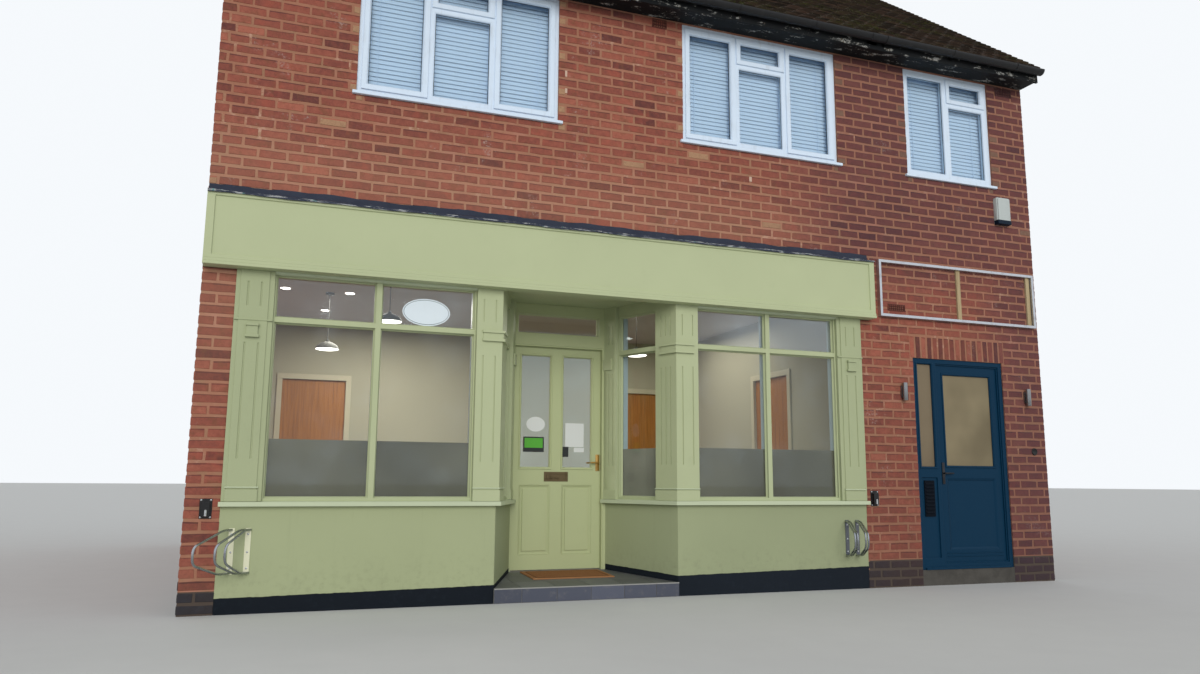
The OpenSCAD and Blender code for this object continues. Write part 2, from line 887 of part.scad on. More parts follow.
module at_shop_leaf() {
    translate([door_x - shop_leaf_w / 2, door_y + leaf_y, leaf_z]) children();
}

module shop_door() {
    sunk = 12;
    field = 38;
    color(sage)
        at_shop_leaf()
            difference() {
                box(0, shop_leaf_w, 0, leaf_t, 0, shop_leaf_h);
                for (l = leaf_lights) box(l[0], l[1], -eps, leaf_t + eps, l[2], l[3]);
                for (p = leaf_panels)
                    for (y = [-eps, leaf_t - sunk])
                        difference() {
                            box(p[0], p[1], y, y + sunk + eps, p[2], p[3]);
                            box(p[0] + field, p[1] - field, y - eps, y + sunk + 2 * eps, p[2] + field, p[3] - field);
                        }
            }
}

module shop_door_glass() {
    color(glazing) at_shop_leaf() panes(leaf_lights, 18, 8);
}

handle_z = 1020;
lever_in = 34;

module door_lever(direction) {
    box(-20, 20, -6, 0, -80, 80);
    rotate([90, 0, 0]) cylinder(h = 44, r = 9);
    translate([0, -40, 0]) rotate([0, direction * 90, 0]) cylinder(h = 85, r = 8);
}

module shop_door_handle() {
    color([0.72, 0.52, 0.22])
        at_shop_leaf()
            translate([shop_leaf_w - lever_in, 0, handle_z]) {
                door_lever(-1);
                translate([0, leaf_t, 0]) mirror([0, 1, 0]) door_lever(-1);
            }
}

// Hinge barrels on the inner side: x = 0 is the leaf's edge and y = 0 its inner face
pin_x = door_gap / 2;
pin_r = 5.5;
pin_y = pin_r + seat;

module hinges(levels) {
    for (z = levels) {
        translate([-pin_x, pin_y, z]) cylinder(h = 100, r = pin_r);
        box(-pin_x, 30, 0, 3, z, z + 100);
    }
}

module shop_door_hinges() {
    color(steel) at_shop_leaf() translate([0, leaf_t, 0]) hinges([200, 1000, shop_leaf_h - 300]);
}

module letter_plate() {
    z = mid_rail[0] + 34;
    plate_w = 245;
    plate_h = 92;
    color([0.35, 0.26, 0.18])
        at_shop_leaf()
            translate([shop_leaf_w / 2 - plate_w / 2, 0, z])
                difference() {
                    box(0, plate_w, -6, 0, 0, plate_h);
                    box(22, plate_w - 22, -6 - eps, -4, 22, plate_h - 22);
                }
}

// Flat door

module flat_door_step() {
    color(concrete) box(flat_x0, flat_x1, front_y, inner_front_y, 0, flat_frame_z);
}

flat_set = 12;
flat_frame_d = 70;
flat_jamb = 48;
flat_post = 46;
flat_leaf_x0 = sidelight_w + flat_post + door_gap;
flat_leaf_w = flat_frame_w - flat_jamb - door_gap - flat_leaf_x0;
flat_sill_h = 55;
flat_leaf_z = flat_sill_h + door_gap;
flat_leaf_h = flat_frame_h - flat_jamb - door_gap - flat_leaf_z;
side_light = [flat_jamb, sidelight_w, 1017, flat_frame_h - flat_jamb];

module at_flat_frame() {
    translate([flat_x0, front_y + flat_set, flat_frame_z]) children();
}

module flat_door_frame() {
    door_x0 = sidelight_w + flat_post;
    door_x1 = flat_frame_w - flat_jamb;
    color(navy)
        at_flat_frame() {
            difference() {
                box(0, flat_frame_w, 0, flat_frame_d, 0, flat_frame_h);
                box(side_light[0], side_light[1], -eps, flat_frame_d + eps, side_light[2], side_light[3]);
                box(door_x0, door_x1, -eps, flat_frame_d + eps, flat_sill_h, flat_frame_h - flat_jamb);
                box(flat_jamb, sidelight_w, -eps, 14, flat_sill_h + 60, side_light[2] - 100);
            }
            box(flat_jamb, flat_frame_w - flat_jamb, -20, 0, 0, 22);
        }
}

module at_flat_leaf() {
    translate([flat_x0 + flat_leaf_x0, front_y + flat_set + flat_frame_d - leaf_t, flat_frame_z + flat_leaf_z])
        children();
}

flat_leaf_stile = 90;
flat_glass = [flat_leaf_stile, flat_leaf_w - flat_leaf_stile, 968, flat_leaf_h - 96];
flat_panel = [flat_leaf_stile, flat_leaf_w - flat_leaf_stile, 126, 850];

module flat_door() {
    color(navy)
        at_flat_leaf()
            difference() {
                box(0, flat_leaf_w, 0, leaf_t, 0, flat_leaf_h);
                box(flat_glass[0], flat_glass[1], -eps, leaf_t + eps, flat_glass[2], flat_glass[3]);
                box(flat_panel[0], flat_panel[1], -eps, 12, flat_panel[2], flat_panel[3]);
            }
}

module flat_door_glass() {
    color(glazing) at_flat_leaf() panes([flat_glass], 12, 20);
}

module flat_door_hinges() {
    color(steel)
        at_flat_leaf()
            translate([flat_leaf_w, leaf_t, 0]) mirror([1, 0, 0]) hinges([200, 960, flat_leaf_h - 300]);
}

module flat_door_handle() {
    color(steel)
        at_flat_leaf()
            translate([45, 0, 900]) {
                box(-16, 16, -8, 0, -110, 110);
                rotate([90, 0, 0]) cylinder(h = 40, r = 9);
                translate([0, -36, 0]) rotate([0, 90, 0]) cylinder(h = 105, r = 8);
            }
}

// Upper windows

upvc_set = 20;
upvc_d = 70;
upvc_bar = 62;
fanlight_h = 290;

// Lights of one upper window: the middle one, or the last of two, has a fanlight over it
function window_lights(w, n, z0, z1) = [
    for (i = [0 : n - 1])
        let (x0 = upvc_bar + i * (w - upvc_bar) / n, x1 = (i + 1) * (w - upvc_bar) / n)
            for (z = i == 1 ? [[z0 + upvc_bar, z1 - fanlight_h - upvc_bar], [z1 - fanlight_h, z1 - upvc_bar]]
                            : [[z0 + upvc_bar, z1 - upvc_bar]])
                [x0, x1, z[0], z[1]]
];

module window_frame(o, z0, z1) {
    translate([o[0], front_y + upvc_set, 0])
        frame_block(0, o[1], z0, z1, upvc_d, window_lights(o[1], o[2], z0, z1));
}

module window_panes(o, z0, z1) {
    translate([o[0], front_y + upvc_set, 0]) panes(window_lights(o[1], o[2], z0, z1), 22, 24);
}

upper_head_z = upper_sill_z + upper_window_h;

module window_frames() {
    color(white) {
        for (o = upper_windows) window_frame(o, upper_sill_z, upper_head_z);
        rotate([0, 0, 180]) {
            for (o = upper_windows) window_frame(o, upper_sill_z, upper_head_z);
            for (o = rear_windows) window_frame(o, rear_sill_z, rear_head_z);
        }
    }
}

module window_glass() {
    color(glazing) {
        for (o = upper_windows) window_panes(o, upper_sill_z, upper_head_z);
        rotate([0, 0, 180]) {
            for (o = upper_windows) window_panes(o, upper_sill_z, upper_head_z);
            for (o = rear_windows) window_panes(o, rear_sill_z, rear_head_z);
        }
        at_flat_frame() panes([side_light], 22, 24);
    }
}

module window_sill(o, z) {
    box(o[0] - 35, o[0] + o[1] + 35, front_y - 35, front_y, z - 28, z);
}

module window_sills() {
    color(white) {
        for (o = upper_windows) window_sill(o, upper_sill_z);
        rotate([0, 0, 180]) {
            for (o = upper_windows) window_sill(o, upper_sill_z);
            for (o = rear_windows) window_sill(o, rear_sill_z);
        }
    }
}

module window_blinds() {
    color([0.93, 0.93, 0.94])
        for (o = upper_windows)
            box(o[0] + 12, o[0] + o[1] - 12, front_y + upvc_set + upvc_d + 12, front_y + upvc_set + upvc_d + 37,
                upper_sill_z + 20, upper_head_z);
}

// Fittings on the front

sign_x0 = shop_x1 + fascia_past + 116;
sign_x1 = half_w - 58;
sign_z0 = 2704;
sign_z1 = 3300;

module sign_frame() {
    tube = 28;
    out = 50;
    color(steel)
        difference() {
            box(sign_x0, sign_x1, front_y - out, front_y, sign_z0, sign_z1);
            box(sign_x0 + tube, sign_x1 - tube, front_y - out - eps, front_y + eps, sign_z0 + tube, sign_z1 - tube);
        }
}

alarm_w = 183;
alarm_h = 303;
alarm_out = 65;
alarm_z = 3852;
alarm_x = half_w - 325 - alarm_w;
alarm_corner = 14;

// A flat block in the wall's plane with rounded corners
module rounded_plate(w, h, t, r) {
    box(r, w - r, -t, 0, 0, h);
    box(0, w, -t, 0, r, h - r);
    for (x = [r, w - r])
        for (z = [r, h - r])
            translate([x, 0, z]) rotate([90, 0, 0]) cylinder(h = t, r = r);
}

module alarm_box() {
    color([0.85, 0.84, 0.78])
        translate([alarm_x, front_y, alarm_z]) {
            rounded_plate(alarm_w, alarm_h, alarm_out - 14, alarm_corner);
            translate([10, 14 - alarm_out, 10]) rounded_plate(alarm_w - 20, alarm_h - 20, 14, alarm_corner);
        }
}

wall_light_z = 1935;

module wall_light() {
    translate([0, front_y, wall_light_z]) {
        box(-28, 28, -22, 0, -60, 60);
        translate([0, -46, -90]) cylinder(h = 180, r = 25);
    }
}

module wall_lights() {
    color(steel) {
        translate([flat_x0 - 150, 0, 0]) wall_light();
        translate([flat_x1 + 300, 0, 0]) wall_light();
    }
}

module shutter_bolt() {
    translate([0, front_y, 0]) {
        box(-45, 45, -8, 0, -75, 75);
        box(-28, 28, -38, -8, -60, 50);
    }
}

module shutter_bolts() {
    color(steel) {
        translate([shop_x0 - 100, 0, riser_h - 15]) shutter_bolt();
        translate([shop_x1 + 95, 0, riser_h + 60]) shutter_bolt();
    }
}

rack_h = 345;
rack_bar = 18;
rack_strip_gap = 118;

// A loop of flat-sided bar that leans sideways in plan, open at the wall
module rack_loop(reach, lean) {
    b = rack_bar;
    top = rack_h - 3;
    rotate([0, 0, -90 - lean])
        rotate([90, 0, 0])
            translate([0, 0, -b / 2])
                linear_extrude(b)
                    difference() {
                        polygon([
                            [0, 3], [reach * 0.3, 3], [reach, 98], [reach, top - 106], [reach * 0.22, top], [0, top]
                        ]);
                        polygon([
                            [-eps, 3 + b], [reach * 0.3 - 4, 3 + b], [reach - b, 111],
                            [reach - b, top - 119], [reach * 0.22 - 5, top - b], [-eps, top - b]
                        ]);
                    }
}

// Two wall strips with their loops: [place along the wall, reach]
module bike_rack(loops, lean) {
    for (x = [0, rack_strip_gap]) box(x - 21, x + 21, -5, 0, 0, rack_h);
    for (l = loops) translate([l[0], -6, 0]) rack_loop(l[1], lean);
}

module bike_racks() {
    g = rack_strip_gap;
    color(steel) {
        translate([shop_x0 + 95, front_y, 293]) bike_rack([[0, 430], [g - 18, 353], [g + 18, 300]], 35);
        translate([shop_x1 - 239, front_y, 308])
            bike_rack([[-15, 353], [15, 353], [g - 15, 353], [g + 15, 353]], 22);
    }
}

module rear_door() {
    color(white)
        rotate([0, 0, 180])
            translate([rear_door_x, front_y + 30, ground_floor_z])
                difference() {
                    box(0, rear_door_w, 0, 60, 0, rear_door_h);
                    box(120, rear_door_w - 120, -eps, 14, 180, 860);
                    box(120, rear_door_w - 120, -eps, 14, 1000, rear_door_h - 130);
                }
}

ground_slab();
party_walls();
front_piers();
flat_door_lintel();
front_wall_upper();
rear_wall_lower();
rear_wall_upper();
first_floor();
loft_floor();
inner_walls();
roof_front();
roof_rear();
rafters();
ridge_tiles();
eaves_boards();
gutters();
downpipe();
stall_risers();
shop_sills();
outer_pilasters();
corner_pilasters();
door_pilasters();
shop_windows();
splay_windows();
shop_glass();
shop_fascia();
fascia_flashing();
recess_ceiling();
entrance_step();
door_mat();
shop_door_frame();
shop_door();
shop_door_glass();
shop_door_handle();
shop_door_hinges();
letter_plate();
flat_door_step();
flat_door_frame();
flat_door();
flat_door_glass();
flat_door_handle();
flat_door_hinges();
window_frames();
window_glass();
window_sills();
window_blinds();
inner_door_frames();
inner_doors();
rear_door();
sign_frame();
alarm_box();
wall_lights();
shutter_bolts();
bike_racks();
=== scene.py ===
"""A brick shop unit of a terrace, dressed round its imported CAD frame."""
import json
import logging
import math
import random
from dataclasses import dataclass, field
from enum import Enum
from typing import Sequence

import bmesh
import bpy
from bpy.types import Node
from mathutils import Matrix, Vector


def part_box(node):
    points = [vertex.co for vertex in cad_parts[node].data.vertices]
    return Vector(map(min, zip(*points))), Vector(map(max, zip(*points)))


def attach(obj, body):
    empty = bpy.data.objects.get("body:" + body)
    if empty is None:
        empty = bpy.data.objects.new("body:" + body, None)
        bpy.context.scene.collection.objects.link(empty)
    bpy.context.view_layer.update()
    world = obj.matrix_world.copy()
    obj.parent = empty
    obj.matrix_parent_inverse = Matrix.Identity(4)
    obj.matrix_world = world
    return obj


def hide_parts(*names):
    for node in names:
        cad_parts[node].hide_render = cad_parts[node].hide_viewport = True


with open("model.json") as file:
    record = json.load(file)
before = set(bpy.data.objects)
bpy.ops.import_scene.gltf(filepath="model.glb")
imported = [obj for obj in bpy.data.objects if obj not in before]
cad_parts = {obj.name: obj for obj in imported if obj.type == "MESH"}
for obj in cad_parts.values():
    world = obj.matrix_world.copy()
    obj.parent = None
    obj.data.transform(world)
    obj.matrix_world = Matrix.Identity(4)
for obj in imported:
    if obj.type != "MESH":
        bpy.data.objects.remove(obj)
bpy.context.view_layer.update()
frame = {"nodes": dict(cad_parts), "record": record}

log = logging.getLogger("terrace_shop")
Colour = tuple[float, float, float]
Stops = tuple[tuple[float, Colour], ...]
Rect = tuple[float, float, float, float]
Span = tuple[float, float]
Spans = tuple[Span, ...]
Place = tuple[float, float, float]
Point = Sequence[float]

# How far the outer faces of all four walls stand from the middle of the plan
HALF_W = 4.25
STREET_WALL = -HALF_W


class Side(Enum):
    """Which way a face looks, as its turn about Z from the street side."""

    STREET = 0.0
    YARD = math.pi
    LEFT = -math.pi / 2
    RIGHT = math.pi / 2

    @property
    def turn(self) -> Matrix:
        """The turn as a matrix."""
        return Matrix.Rotation(self.value, 4, "Z")


# Shader maths


class Socket:
    """A node's output that takes part in Python arithmetic."""

    def __init__(self, graph: "Graph", link: bpy.types.NodeSocket) -> None:
        """Keeps the graph and the output it stands for."""
        self.graph = graph
        self.link = link

    def math(self, operation: str, *others: "Operand") -> "Socket":
        """Adds one Math node.

        Args:
            operation: the Math node's operation.
            others: its further operands.

        Returns:
            The node's value.
        """
        values = {0: self, **dict(enumerate(others, 1))}
        node = self.graph.add("ShaderNodeMath", {"operation": operation}, values)
        return Socket(self.graph, node.outputs[0])

    def __add__(self, other: "Operand") -> "Socket":
        """Sum."""
        return self.math("ADD", other)

    def __sub__(self, other: "Operand") -> "Socket":
        """Difference."""
        return self.math("SUBTRACT", other)

    def __rsub__(self, other: float) -> "Socket":
        """Difference from a number on the left."""
        return self.math("MULTIPLY", -1.0).math("ADD", other)

    def __mul__(self, other: "Operand") -> "Socket":
        """Product."""
        return self.math("MULTIPLY", other)

    __radd__ = __add__
    __rmul__ = __mul__

    def __gt__(self, other: "Operand") -> "Socket":
        """One where it is greater."""
        return self.math("GREATER_THAN", other)

    def __lt__(self, other: "Operand") -> "Socket":
        """One where it is less."""
        return self.math("LESS_THAN", other)

    def step(self, low: float, high: float) -> "Socket":
        """A smooth step.

        Args:
            low: the value that gives 0.
            high: the value that gives 1.

        Returns:
            The stepped value, from 0 to 1.
        """
        node = self.graph.add(
            "ShaderNodeMapRange",
            {"interpolation_type": "SMOOTHSTEP"},
            {"Value": self, "From Min": low, "From Max": high, "To Min": 0.0, "To Max": 1.0},
        )
        return Socket(self.graph, node.outputs[0])


Operand = Socket | float
Setting = Socket | float | Point
Inputs = dict[str | int, Setting]


class Graph:
    """The node tree of one material or world."""

    def __init__(self, owner: bpy.types.Material | bpy.types.World, output: str) -> None:
        """Empties the owner's node tree.

        Args:
            owner: the material or world.
            output: the type of its output node.
        """
        owner.use_nodes = True
        self.nodes = owner.node_tree.nodes
        self.links = owner.node_tree.links
        self.nodes.clear()
        self.output = self.nodes.new(output)

    def add(self, kind: str, settings: dict[str, object], sockets: Inputs) -> Node:
        """Adds one node.

        Args:
            kind: the node's type.
            settings: its properties; "stops" fills a ramp with (place, colour) pairs.
            sockets: values or links by input name or number.

        Returns:
            The node.
        """
        node = self.nodes.new(kind)
        for key, value in settings.items():
            if key != "stops":
                setattr(node, key, value)
                continue
            elements = node.color_ramp.elements
            while len(elements) < len(value):
                elements.new(0.5)
            for element, (place, colour) in zip(elements, value):
                element.position = place
                element.color = (*colour, 1.0)
        for key, value in sockets.items():
            if isinstance(value, Socket):
                self.links.new(value.link, node.inputs[key])
            elif value is not None:
                slot = node.inputs[key]
                wide = getattr(slot, "type", "") == "RGBA" and len(value) == 3
                slot.default_value = (*value, 1.0) if wide else value
        return node

    def place(self) -> Socket:
        """The point on the surface, in metres in the row's frame."""
        return Socket(self, self.add("ShaderNodeTexCoord", {}, {}).outputs["Object"])

    def axes(self) -> tuple[Socket, Socket, Socket]:
        """The point's three coordinates."""
        node = self.add("ShaderNodeSeparateXYZ", {}, {0: self.place()})
        return tuple(Socket(self, out) for out in node.outputs)

    def noise(self, scale: float | Point, detail: float = 3.0, rough: float = 0.55) -> Socket:
        """Soft noise from 0 to 1.

        Args:
            scale: features to the metre, or one number for each axis.
            detail: octaves.
            rough: weight of the finer octaves.

        Returns:
            The noise value.
        """
        at = self.place()
        if not isinstance(scale, float):
            stretch = self.add("ShaderNodeVectorMath", {"operation": "MULTIPLY"}, {0: at, 1: scale})
            at, scale = Socket(self, stretch.outputs[0]), 1.0
        sockets = {"Vector": at, "Scale": scale, "Detail": detail, "Roughness": rough}
        return Socket(self, self.add("ShaderNodeTexNoise", {}, sockets).outputs[0])

    def cells(self, scale: float) -> Socket:
        """Distance to the nearest point of a field of cells, with so many to the metre."""
        node = self.add("ShaderNodeTexVoronoi", {}, {"Vector": self.place(), "Scale": scale})
        return Socket(self, node.outputs["Distance"])

    def tone(self) -> Socket:
        """The tone kept on each brick, tile or slat: random, and on brick chamfers shifted as painted shade
        and painted light.
        """
        node = self.add("ShaderNodeAttribute", {"attribute_name": "tone"}, {})
        return Socket(self, node.outputs["Fac"])

    def ramp(self, factor: Socket, stops: Stops) -> Socket:
        """A colour from a value, by places with their colours."""
        return Socket(self, self.add("ShaderNodeValToRGB", {"stops": stops}, {0: factor}).outputs[0])

    def mix(self, factor: Operand, a: Setting, b: Setting) -> Socket:
        """Two colours mixed by the share of the second."""
        settings = {"data_type": "RGBA", "clamp_factor": True}
        return Socket(self, self.add("ShaderNodeMix", settings, {"Factor": factor, 6: a, 7: b}).outputs[2])

    def varied(self, factor: Operand, colour: Colour, first: float, second: float) -> Socket:
        """A colour that runs between two strengths of itself, by the share of the second."""
        return self.mix(factor, scaled(colour, first), scaled(colour, second))

    def coats(self, colour: Setting, *layers: tuple[Operand, Setting]) -> Setting:
        """Further tones over a colour, each on the last.

        Args:
            colour: what lies under them.
            layers: the share and the colour of each.

        Returns:
            The colour that shows.
        """
        for share, tone in layers:
            colour = self.mix(share, colour, tone)
        return colour

    def bump(self, height: Socket, depth: float) -> Socket:
        """A normal bumped by a height from 0 to 1, so many metres deep."""
        node = self.add("ShaderNodeBump", {}, {"Strength": 1.0, "Distance": depth, "Height": height})
        return Socket(self, node.outputs[0])

    def shade(
        self,
        colour: Setting,
        rough: Setting,
        normal: Socket | None = None,
        shine: float = 0.5,
        **more: Setting,
    ) -> Node:
        """The main surface shader.

        Args:
            colour: base colour.
            rough: roughness.
            normal: a normal, or none.
            shine: the specular level.
            more: further sockets, with _ for a space in their names.

        Returns:
            The shader node.
        """
        extra = {key.replace("_", " "): value for key, value in more.items()}
        main = {"Base Color": colour, "Roughness": rough, "Normal": normal, "Specular IOR Level": shine}
        return self.add("ShaderNodeBsdfPrincipled", {}, {**main, **extra})

    def blend(self, factor: Operand, a: Node, b: Node) -> Node:
        """Two shaders mixed by the share of the second."""
        sockets = {0: factor, 1: Socket(self, a.outputs[0]), 2: Socket(self, b.outputs[0])}
        return self.add("ShaderNodeMixShader", {}, sockets)

    def done(self, shader: Node) -> None:
        """Links the last shader to the output."""
        self.links.new(shader.outputs[0], self.output.inputs[0])


def scaled(colour: Colour, factor: float) -> Colour:
    """A colour made darker or lighter."""
    return tuple(factor * c for c in colour)


# Finishes


@dataclass(frozen=True)
class Finish:
    """What a surface is made of and how it has aged."""

    name: str

    def build(self, g: Graph) -> Node:
        """Adds the finish's nodes and returns its shader."""
        raise NotImplementedError

    def material(self) -> bpy.types.Material:
        """The material, made once.

        Returns:
            The material that all pieces of this finish share.
        """
        label = self.name + "_finish"
        known = bpy.data.materials.get(label)
        if known is not None:
            return known
        material = bpy.data.materials.new(label)
        g = Graph(material, "ShaderNodeOutputMaterial")
        g.done(self.build(g))
        return material


# Tones of bricks outside the run of reds, from 0 to 1
PALE_BRICK = 2.0
BLUE_BRICK = -1.0


class StreetWall:
    """Where the street wall takes painted shade and painted light, each as a share from 0 to 1."""

    bricks_y: float = -4.14

    def __init__(self, g: Graph) -> None:
        """Starts from the point on the surface."""
        self.x, self.y, self.z = g.axes()

    def painted_right_shade(self) -> Socket:
        """Painted shade: dark above and beside the flat's door."""
        above = self.z.step(2.6, 3.6) * self.x.step(0.6, 2.0)
        return above.math("MAXIMUM", self.x.step(3.1, 4.0)) * (self.y < self.bricks_y)

    def painted_left_light(self) -> Socket:
        """Painted light: pale around the left end of the fascia."""
        band = self.z.step(1.2, 2.4) * (1.0 - self.z.step(3.5, 4.1))
        return (1.0 - self.x.step(0.4, 2.0)) * band * (self.y < self.bricks_y)

    def shaded(self) -> Socket:
        """Dim low down, more so to the right."""
        return (1.0 - self.z.step(0.3, 3.2)) * self.x.step(0.5, 3.0)


@dataclass(frozen=True)
class BrickFace(Finish):
    """Rough red facing bricks, each with a tone of its own."""

    reds: Stops = (
        (0.0, (0.125, 0.046, 0.041)),
        (0.25, (0.198, 0.063, 0.049)),
        (0.60, (0.282, 0.088, 0.062)),
        (1.0, (0.380, 0.130, 0.087)),
    )
    pale: Colour = (0.42, 0.245, 0.145)
    blue: Colour = (0.024, 0.027, 0.034)
    brown: Colour = (0.170, 0.078, 0.042)
    fiery: Colour = (0.370, 0.092, 0.062)
    soot: Colour = (0.060, 0.036, 0.033)
    lime: Colour = (0.48, 0.38, 0.34)
    dull: Colour = (0.115, 0.050, 0.040)
    shade: Colour = (0.075, 0.032, 0.028)
    painted_right_shade: Colour = (0.060, 0.034, 0.046)
    painted_left_light: Colour = (0.60, 0.34, 0.22)
    damp: Colour = (0.045, 0.036, 0.032)

    def build(self, g: Graph) -> Node:
        """Tone by brick, mottled, with soot and lime on the face, and painted shade and painted light on the
        street front.

        Args:
            g: the material's graph.

        Returns:
            The shader.
        """
        tone, wall = g.tone(), StreetWall(g)
        smear = g.noise(2.3, 5.0, 0.72).step(0.58, 0.70) * g.noise(48.0, 4.0, 0.7).step(0.46, 0.66)
        damp = (1.0 - wall.z.step(0.05, 0.5)) * g.noise(7.0, 4.0).step(0.25, 0.65)
        colour = g.coats(
            g.ramp(tone + (g.noise(26.0, 5.0, 0.66) - 0.5) * 0.92, self.reds),
            (g.noise(8.0, 4.0, 0.7).step(0.50, 0.68) * 0.50, self.brown),
            (g.noise(6.0, 3.0, 0.6).step(0.54, 0.70) * 0.40, self.fiery),
            (tone > 0.5 * (1.0 + PALE_BRICK), g.varied(g.noise(45.0), self.pale, 0.72, 1.12)),
            (tone < 0.5 * BLUE_BRICK, g.varied(g.noise(25.0), self.blue, 0.7, 1.7)),
            (g.noise(120.0, 3.0, 0.7).step(0.56, 0.74) * 0.5, self.soot),
            (smear * 0.7, self.lime),
            (g.noise(0.5).step(0.40, 0.75) * 0.30, self.dull),
            # Painted shade low down to the right and above and beside the flat's door; painted light round
            # the left end of the fascia
            (wall.shaded() * 0.30, self.shade),
            (wall.painted_right_shade() * 0.58, self.painted_right_shade),
            (wall.painted_left_light() * 0.10, self.painted_left_light),
            (damp * 0.5, self.damp),
        )
        grain = g.noise(260.0, 3.0, 0.7) * 0.6 + g.noise(55.0) * 0.8
        return g.shade(colour, 0.9, g.bump(grain, 0.0022), shine=0.22)


@dataclass(frozen=True)
class Mortar(Finish):
    """Sandy joints, dark where they lie between the blue bricks."""

    colour: Colour = (0.365, 0.168, 0.108)
    dark: Colour = (0.085, 0.066, 0.055)
    olive: Colour = (0.290, 0.195, 0.115)
    rosy: Colour = (0.430, 0.200, 0.150)
    pale: Colour = (0.56, 0.36, 0.27)
    shade: Colour = (0.110, 0.055, 0.045)
    painted_right_shade: Colour = (0.090, 0.055, 0.062)
    painted_left_light: Colour = (0.62, 0.38, 0.26)
    damp_z: float = 0.175
    damp_x: float = 1.9
    course: float = 0.0875

    def build(self, g: Graph) -> Node:
        """Sandy mix with stains, and painted shade and painted light on the street front.

        Args:
            g: the material's graph.

        Returns:
            The shader.
        """
        wall = StreetWall(g)
        pale = g.noise(3.4, 5.0, 0.65).step(0.56, 0.70) * g.noise(30.0).step(0.44, 0.66)
        colour = g.coats(
            self.colour,
            (g.noise(5.0, 5.0, 0.65).step(0.40, 0.75) * 0.5, scaled(self.colour, 0.72)),
            (g.noise(7.0, 4.0, 0.65).step(0.46, 0.66) * 0.35, self.olive),
            (g.noise(4.0).step(0.52, 0.68) * 0.45, self.rosy),
            (pale * 0.65, self.pale),
            # Painted shade low down to the right and above and beside the flat's door; painted light round
            # the left end of the fascia
            (wall.shaded() * 0.35, self.shade),
            (wall.painted_right_shade() * 0.20, self.painted_right_shade),
            (wall.painted_left_light() * 0.22, self.painted_left_light),
            ((wall.x > self.damp_x) * self.course + self.damp_z > wall.z, self.dark),
        )
        return g.shade(colour, 0.95, g.bump(g.noise(330.0, 3.0, 0.7), 0.002), shine=0.15)


@dataclass(frozen=True)
class Paint(Finish):
    """Brushed paint on timber or plastic."""

    colour: Colour = (0.42, 0.47, 0.28)
    gloss: float = 0.42
    brush: float = 0.0004
    grime: float = 0.25

    def build(self, g: Graph) -> Node:
        """Even colour with faint patches, brush marks and dust.

        Args:
            g: the material's graph.

        Returns:
            The shader.
        """
        dust = g.noise(5.0, 5.0, 0.65).step(0.55, 0.85) * self.grime
        colour = g.mix(dust, g.varied(g.noise(1.3), self.colour, 0.93, 1.05), scaled(self.colour, 0.70))
        rough = g.noise(22.0) * 0.16 + (self.gloss - 0.08)
        strokes = g.noise((90.0, 90.0, 9.0))
        return g.shade(colour, rough, g.bump(strokes, self.brush), shine=0.4)


@dataclass(frozen=True)
class RiserPaint(Finish):
    """Painted render with a black band along its foot that rises to the right."""

    colour: Colour = (0.375, 0.415, 0.245)
    band: Colour = (0.009, 0.012, 0.017)
    splash: Colour = (0.16, 0.165, 0.11)
    streak: Colour = (0.20, 0.22, 0.14)
    band_z: float = 0.120
    band_rise: float = 0.0152
    band_back: float = 0.050
    bay_x: float = -4.0

    def build(self, g: Graph) -> Node:
        """Two paints over trowelled render, with painted shade towards the right.

        Args:
            g: the material's graph.

        Returns:
            The shader.
        """
        x, y, z = g.axes()
        wave = (g.noise(14.0) - 0.5) * 0.012
        inward = (y - STREET_WALL).math("MAXIMUM", 0.0) * self.band_back
        line = (x - self.bay_x) * self.band_rise + self.band_z + wave + inward
        splash = (1.0 - z.step(0.15, 0.55)) * g.noise(19.0, 5.0, 0.7).step(0.45, 0.8)
        black = g.varied(g.noise(26.0, 4.0).step(0.5, 0.85) * 0.4, self.band, 1.0, 2.2)
        colour = g.coats(
            g.varied(g.noise(1.1, 4.0), self.colour, 0.90, 1.06),
            (splash * 0.30, self.splash),
            (g.noise((22.0, 22.0, 1.2), 4.0, 0.6).step(0.55, 0.85) * 0.14, self.streak),
            ((line - z).step(-0.002, 0.002), black),
            # Painted shade: darker towards the right
            (x.step(-1.0, 0.4) * 0.17, scaled(self.band, 3.0)),
        )
        trowel = g.noise(6.0) + g.noise(150.0, 3.0, 0.65) * 0.35
        return g.shade(colour, 0.75, g.bump(trowel, 0.0016), shine=0.12)


@dataclass(frozen=True)
class TileFace(Finish):
    """Old plain tiles, dark, with green and grey patches."""

    browns: Stops = (
        (0.0, (0.020, 0.015, 0.012)),
        (0.5, (0.040, 0.028, 0.021)),
        (1.0, (0.075, 0.045, 0.032)),
    )
    greens: tuple[Colour, Colour] = ((0.030, 0.038, 0.010), (0.085, 0.085, 0.022))
    grey: Colour = (0.15, 0.14, 0.10)

    def build(self, g: Graph) -> Node:
        """Tone by tile, with raised green patches and flat grey ones.

        Args:
            g: the material's graph.

        Returns:
            The shader.
        """
        green = g.noise(0.9, 4.0, 0.6).step(0.42, 0.62) * g.noise(26.0, 4.0, 0.7).step(0.42, 0.62)
        grey = (g.cells(34.0) < 0.22) * g.noise(3.0).step(0.52, 0.62)
        colour = g.coats(
            g.ramp(g.tone() + (g.noise(30.0) - 0.5) * 0.5, self.browns),
            (green * 0.85, g.mix(g.noise(70.0), *self.greens)),
            (grey * 0.55, self.grey),
        )
        lumps = g.noise(90.0, 4.0, 0.7) * 0.5 + green * g.noise(170.0) * 1.2
        return g.shade(colour, 0.92, g.bump(lumps, 0.005), shine=0.2)


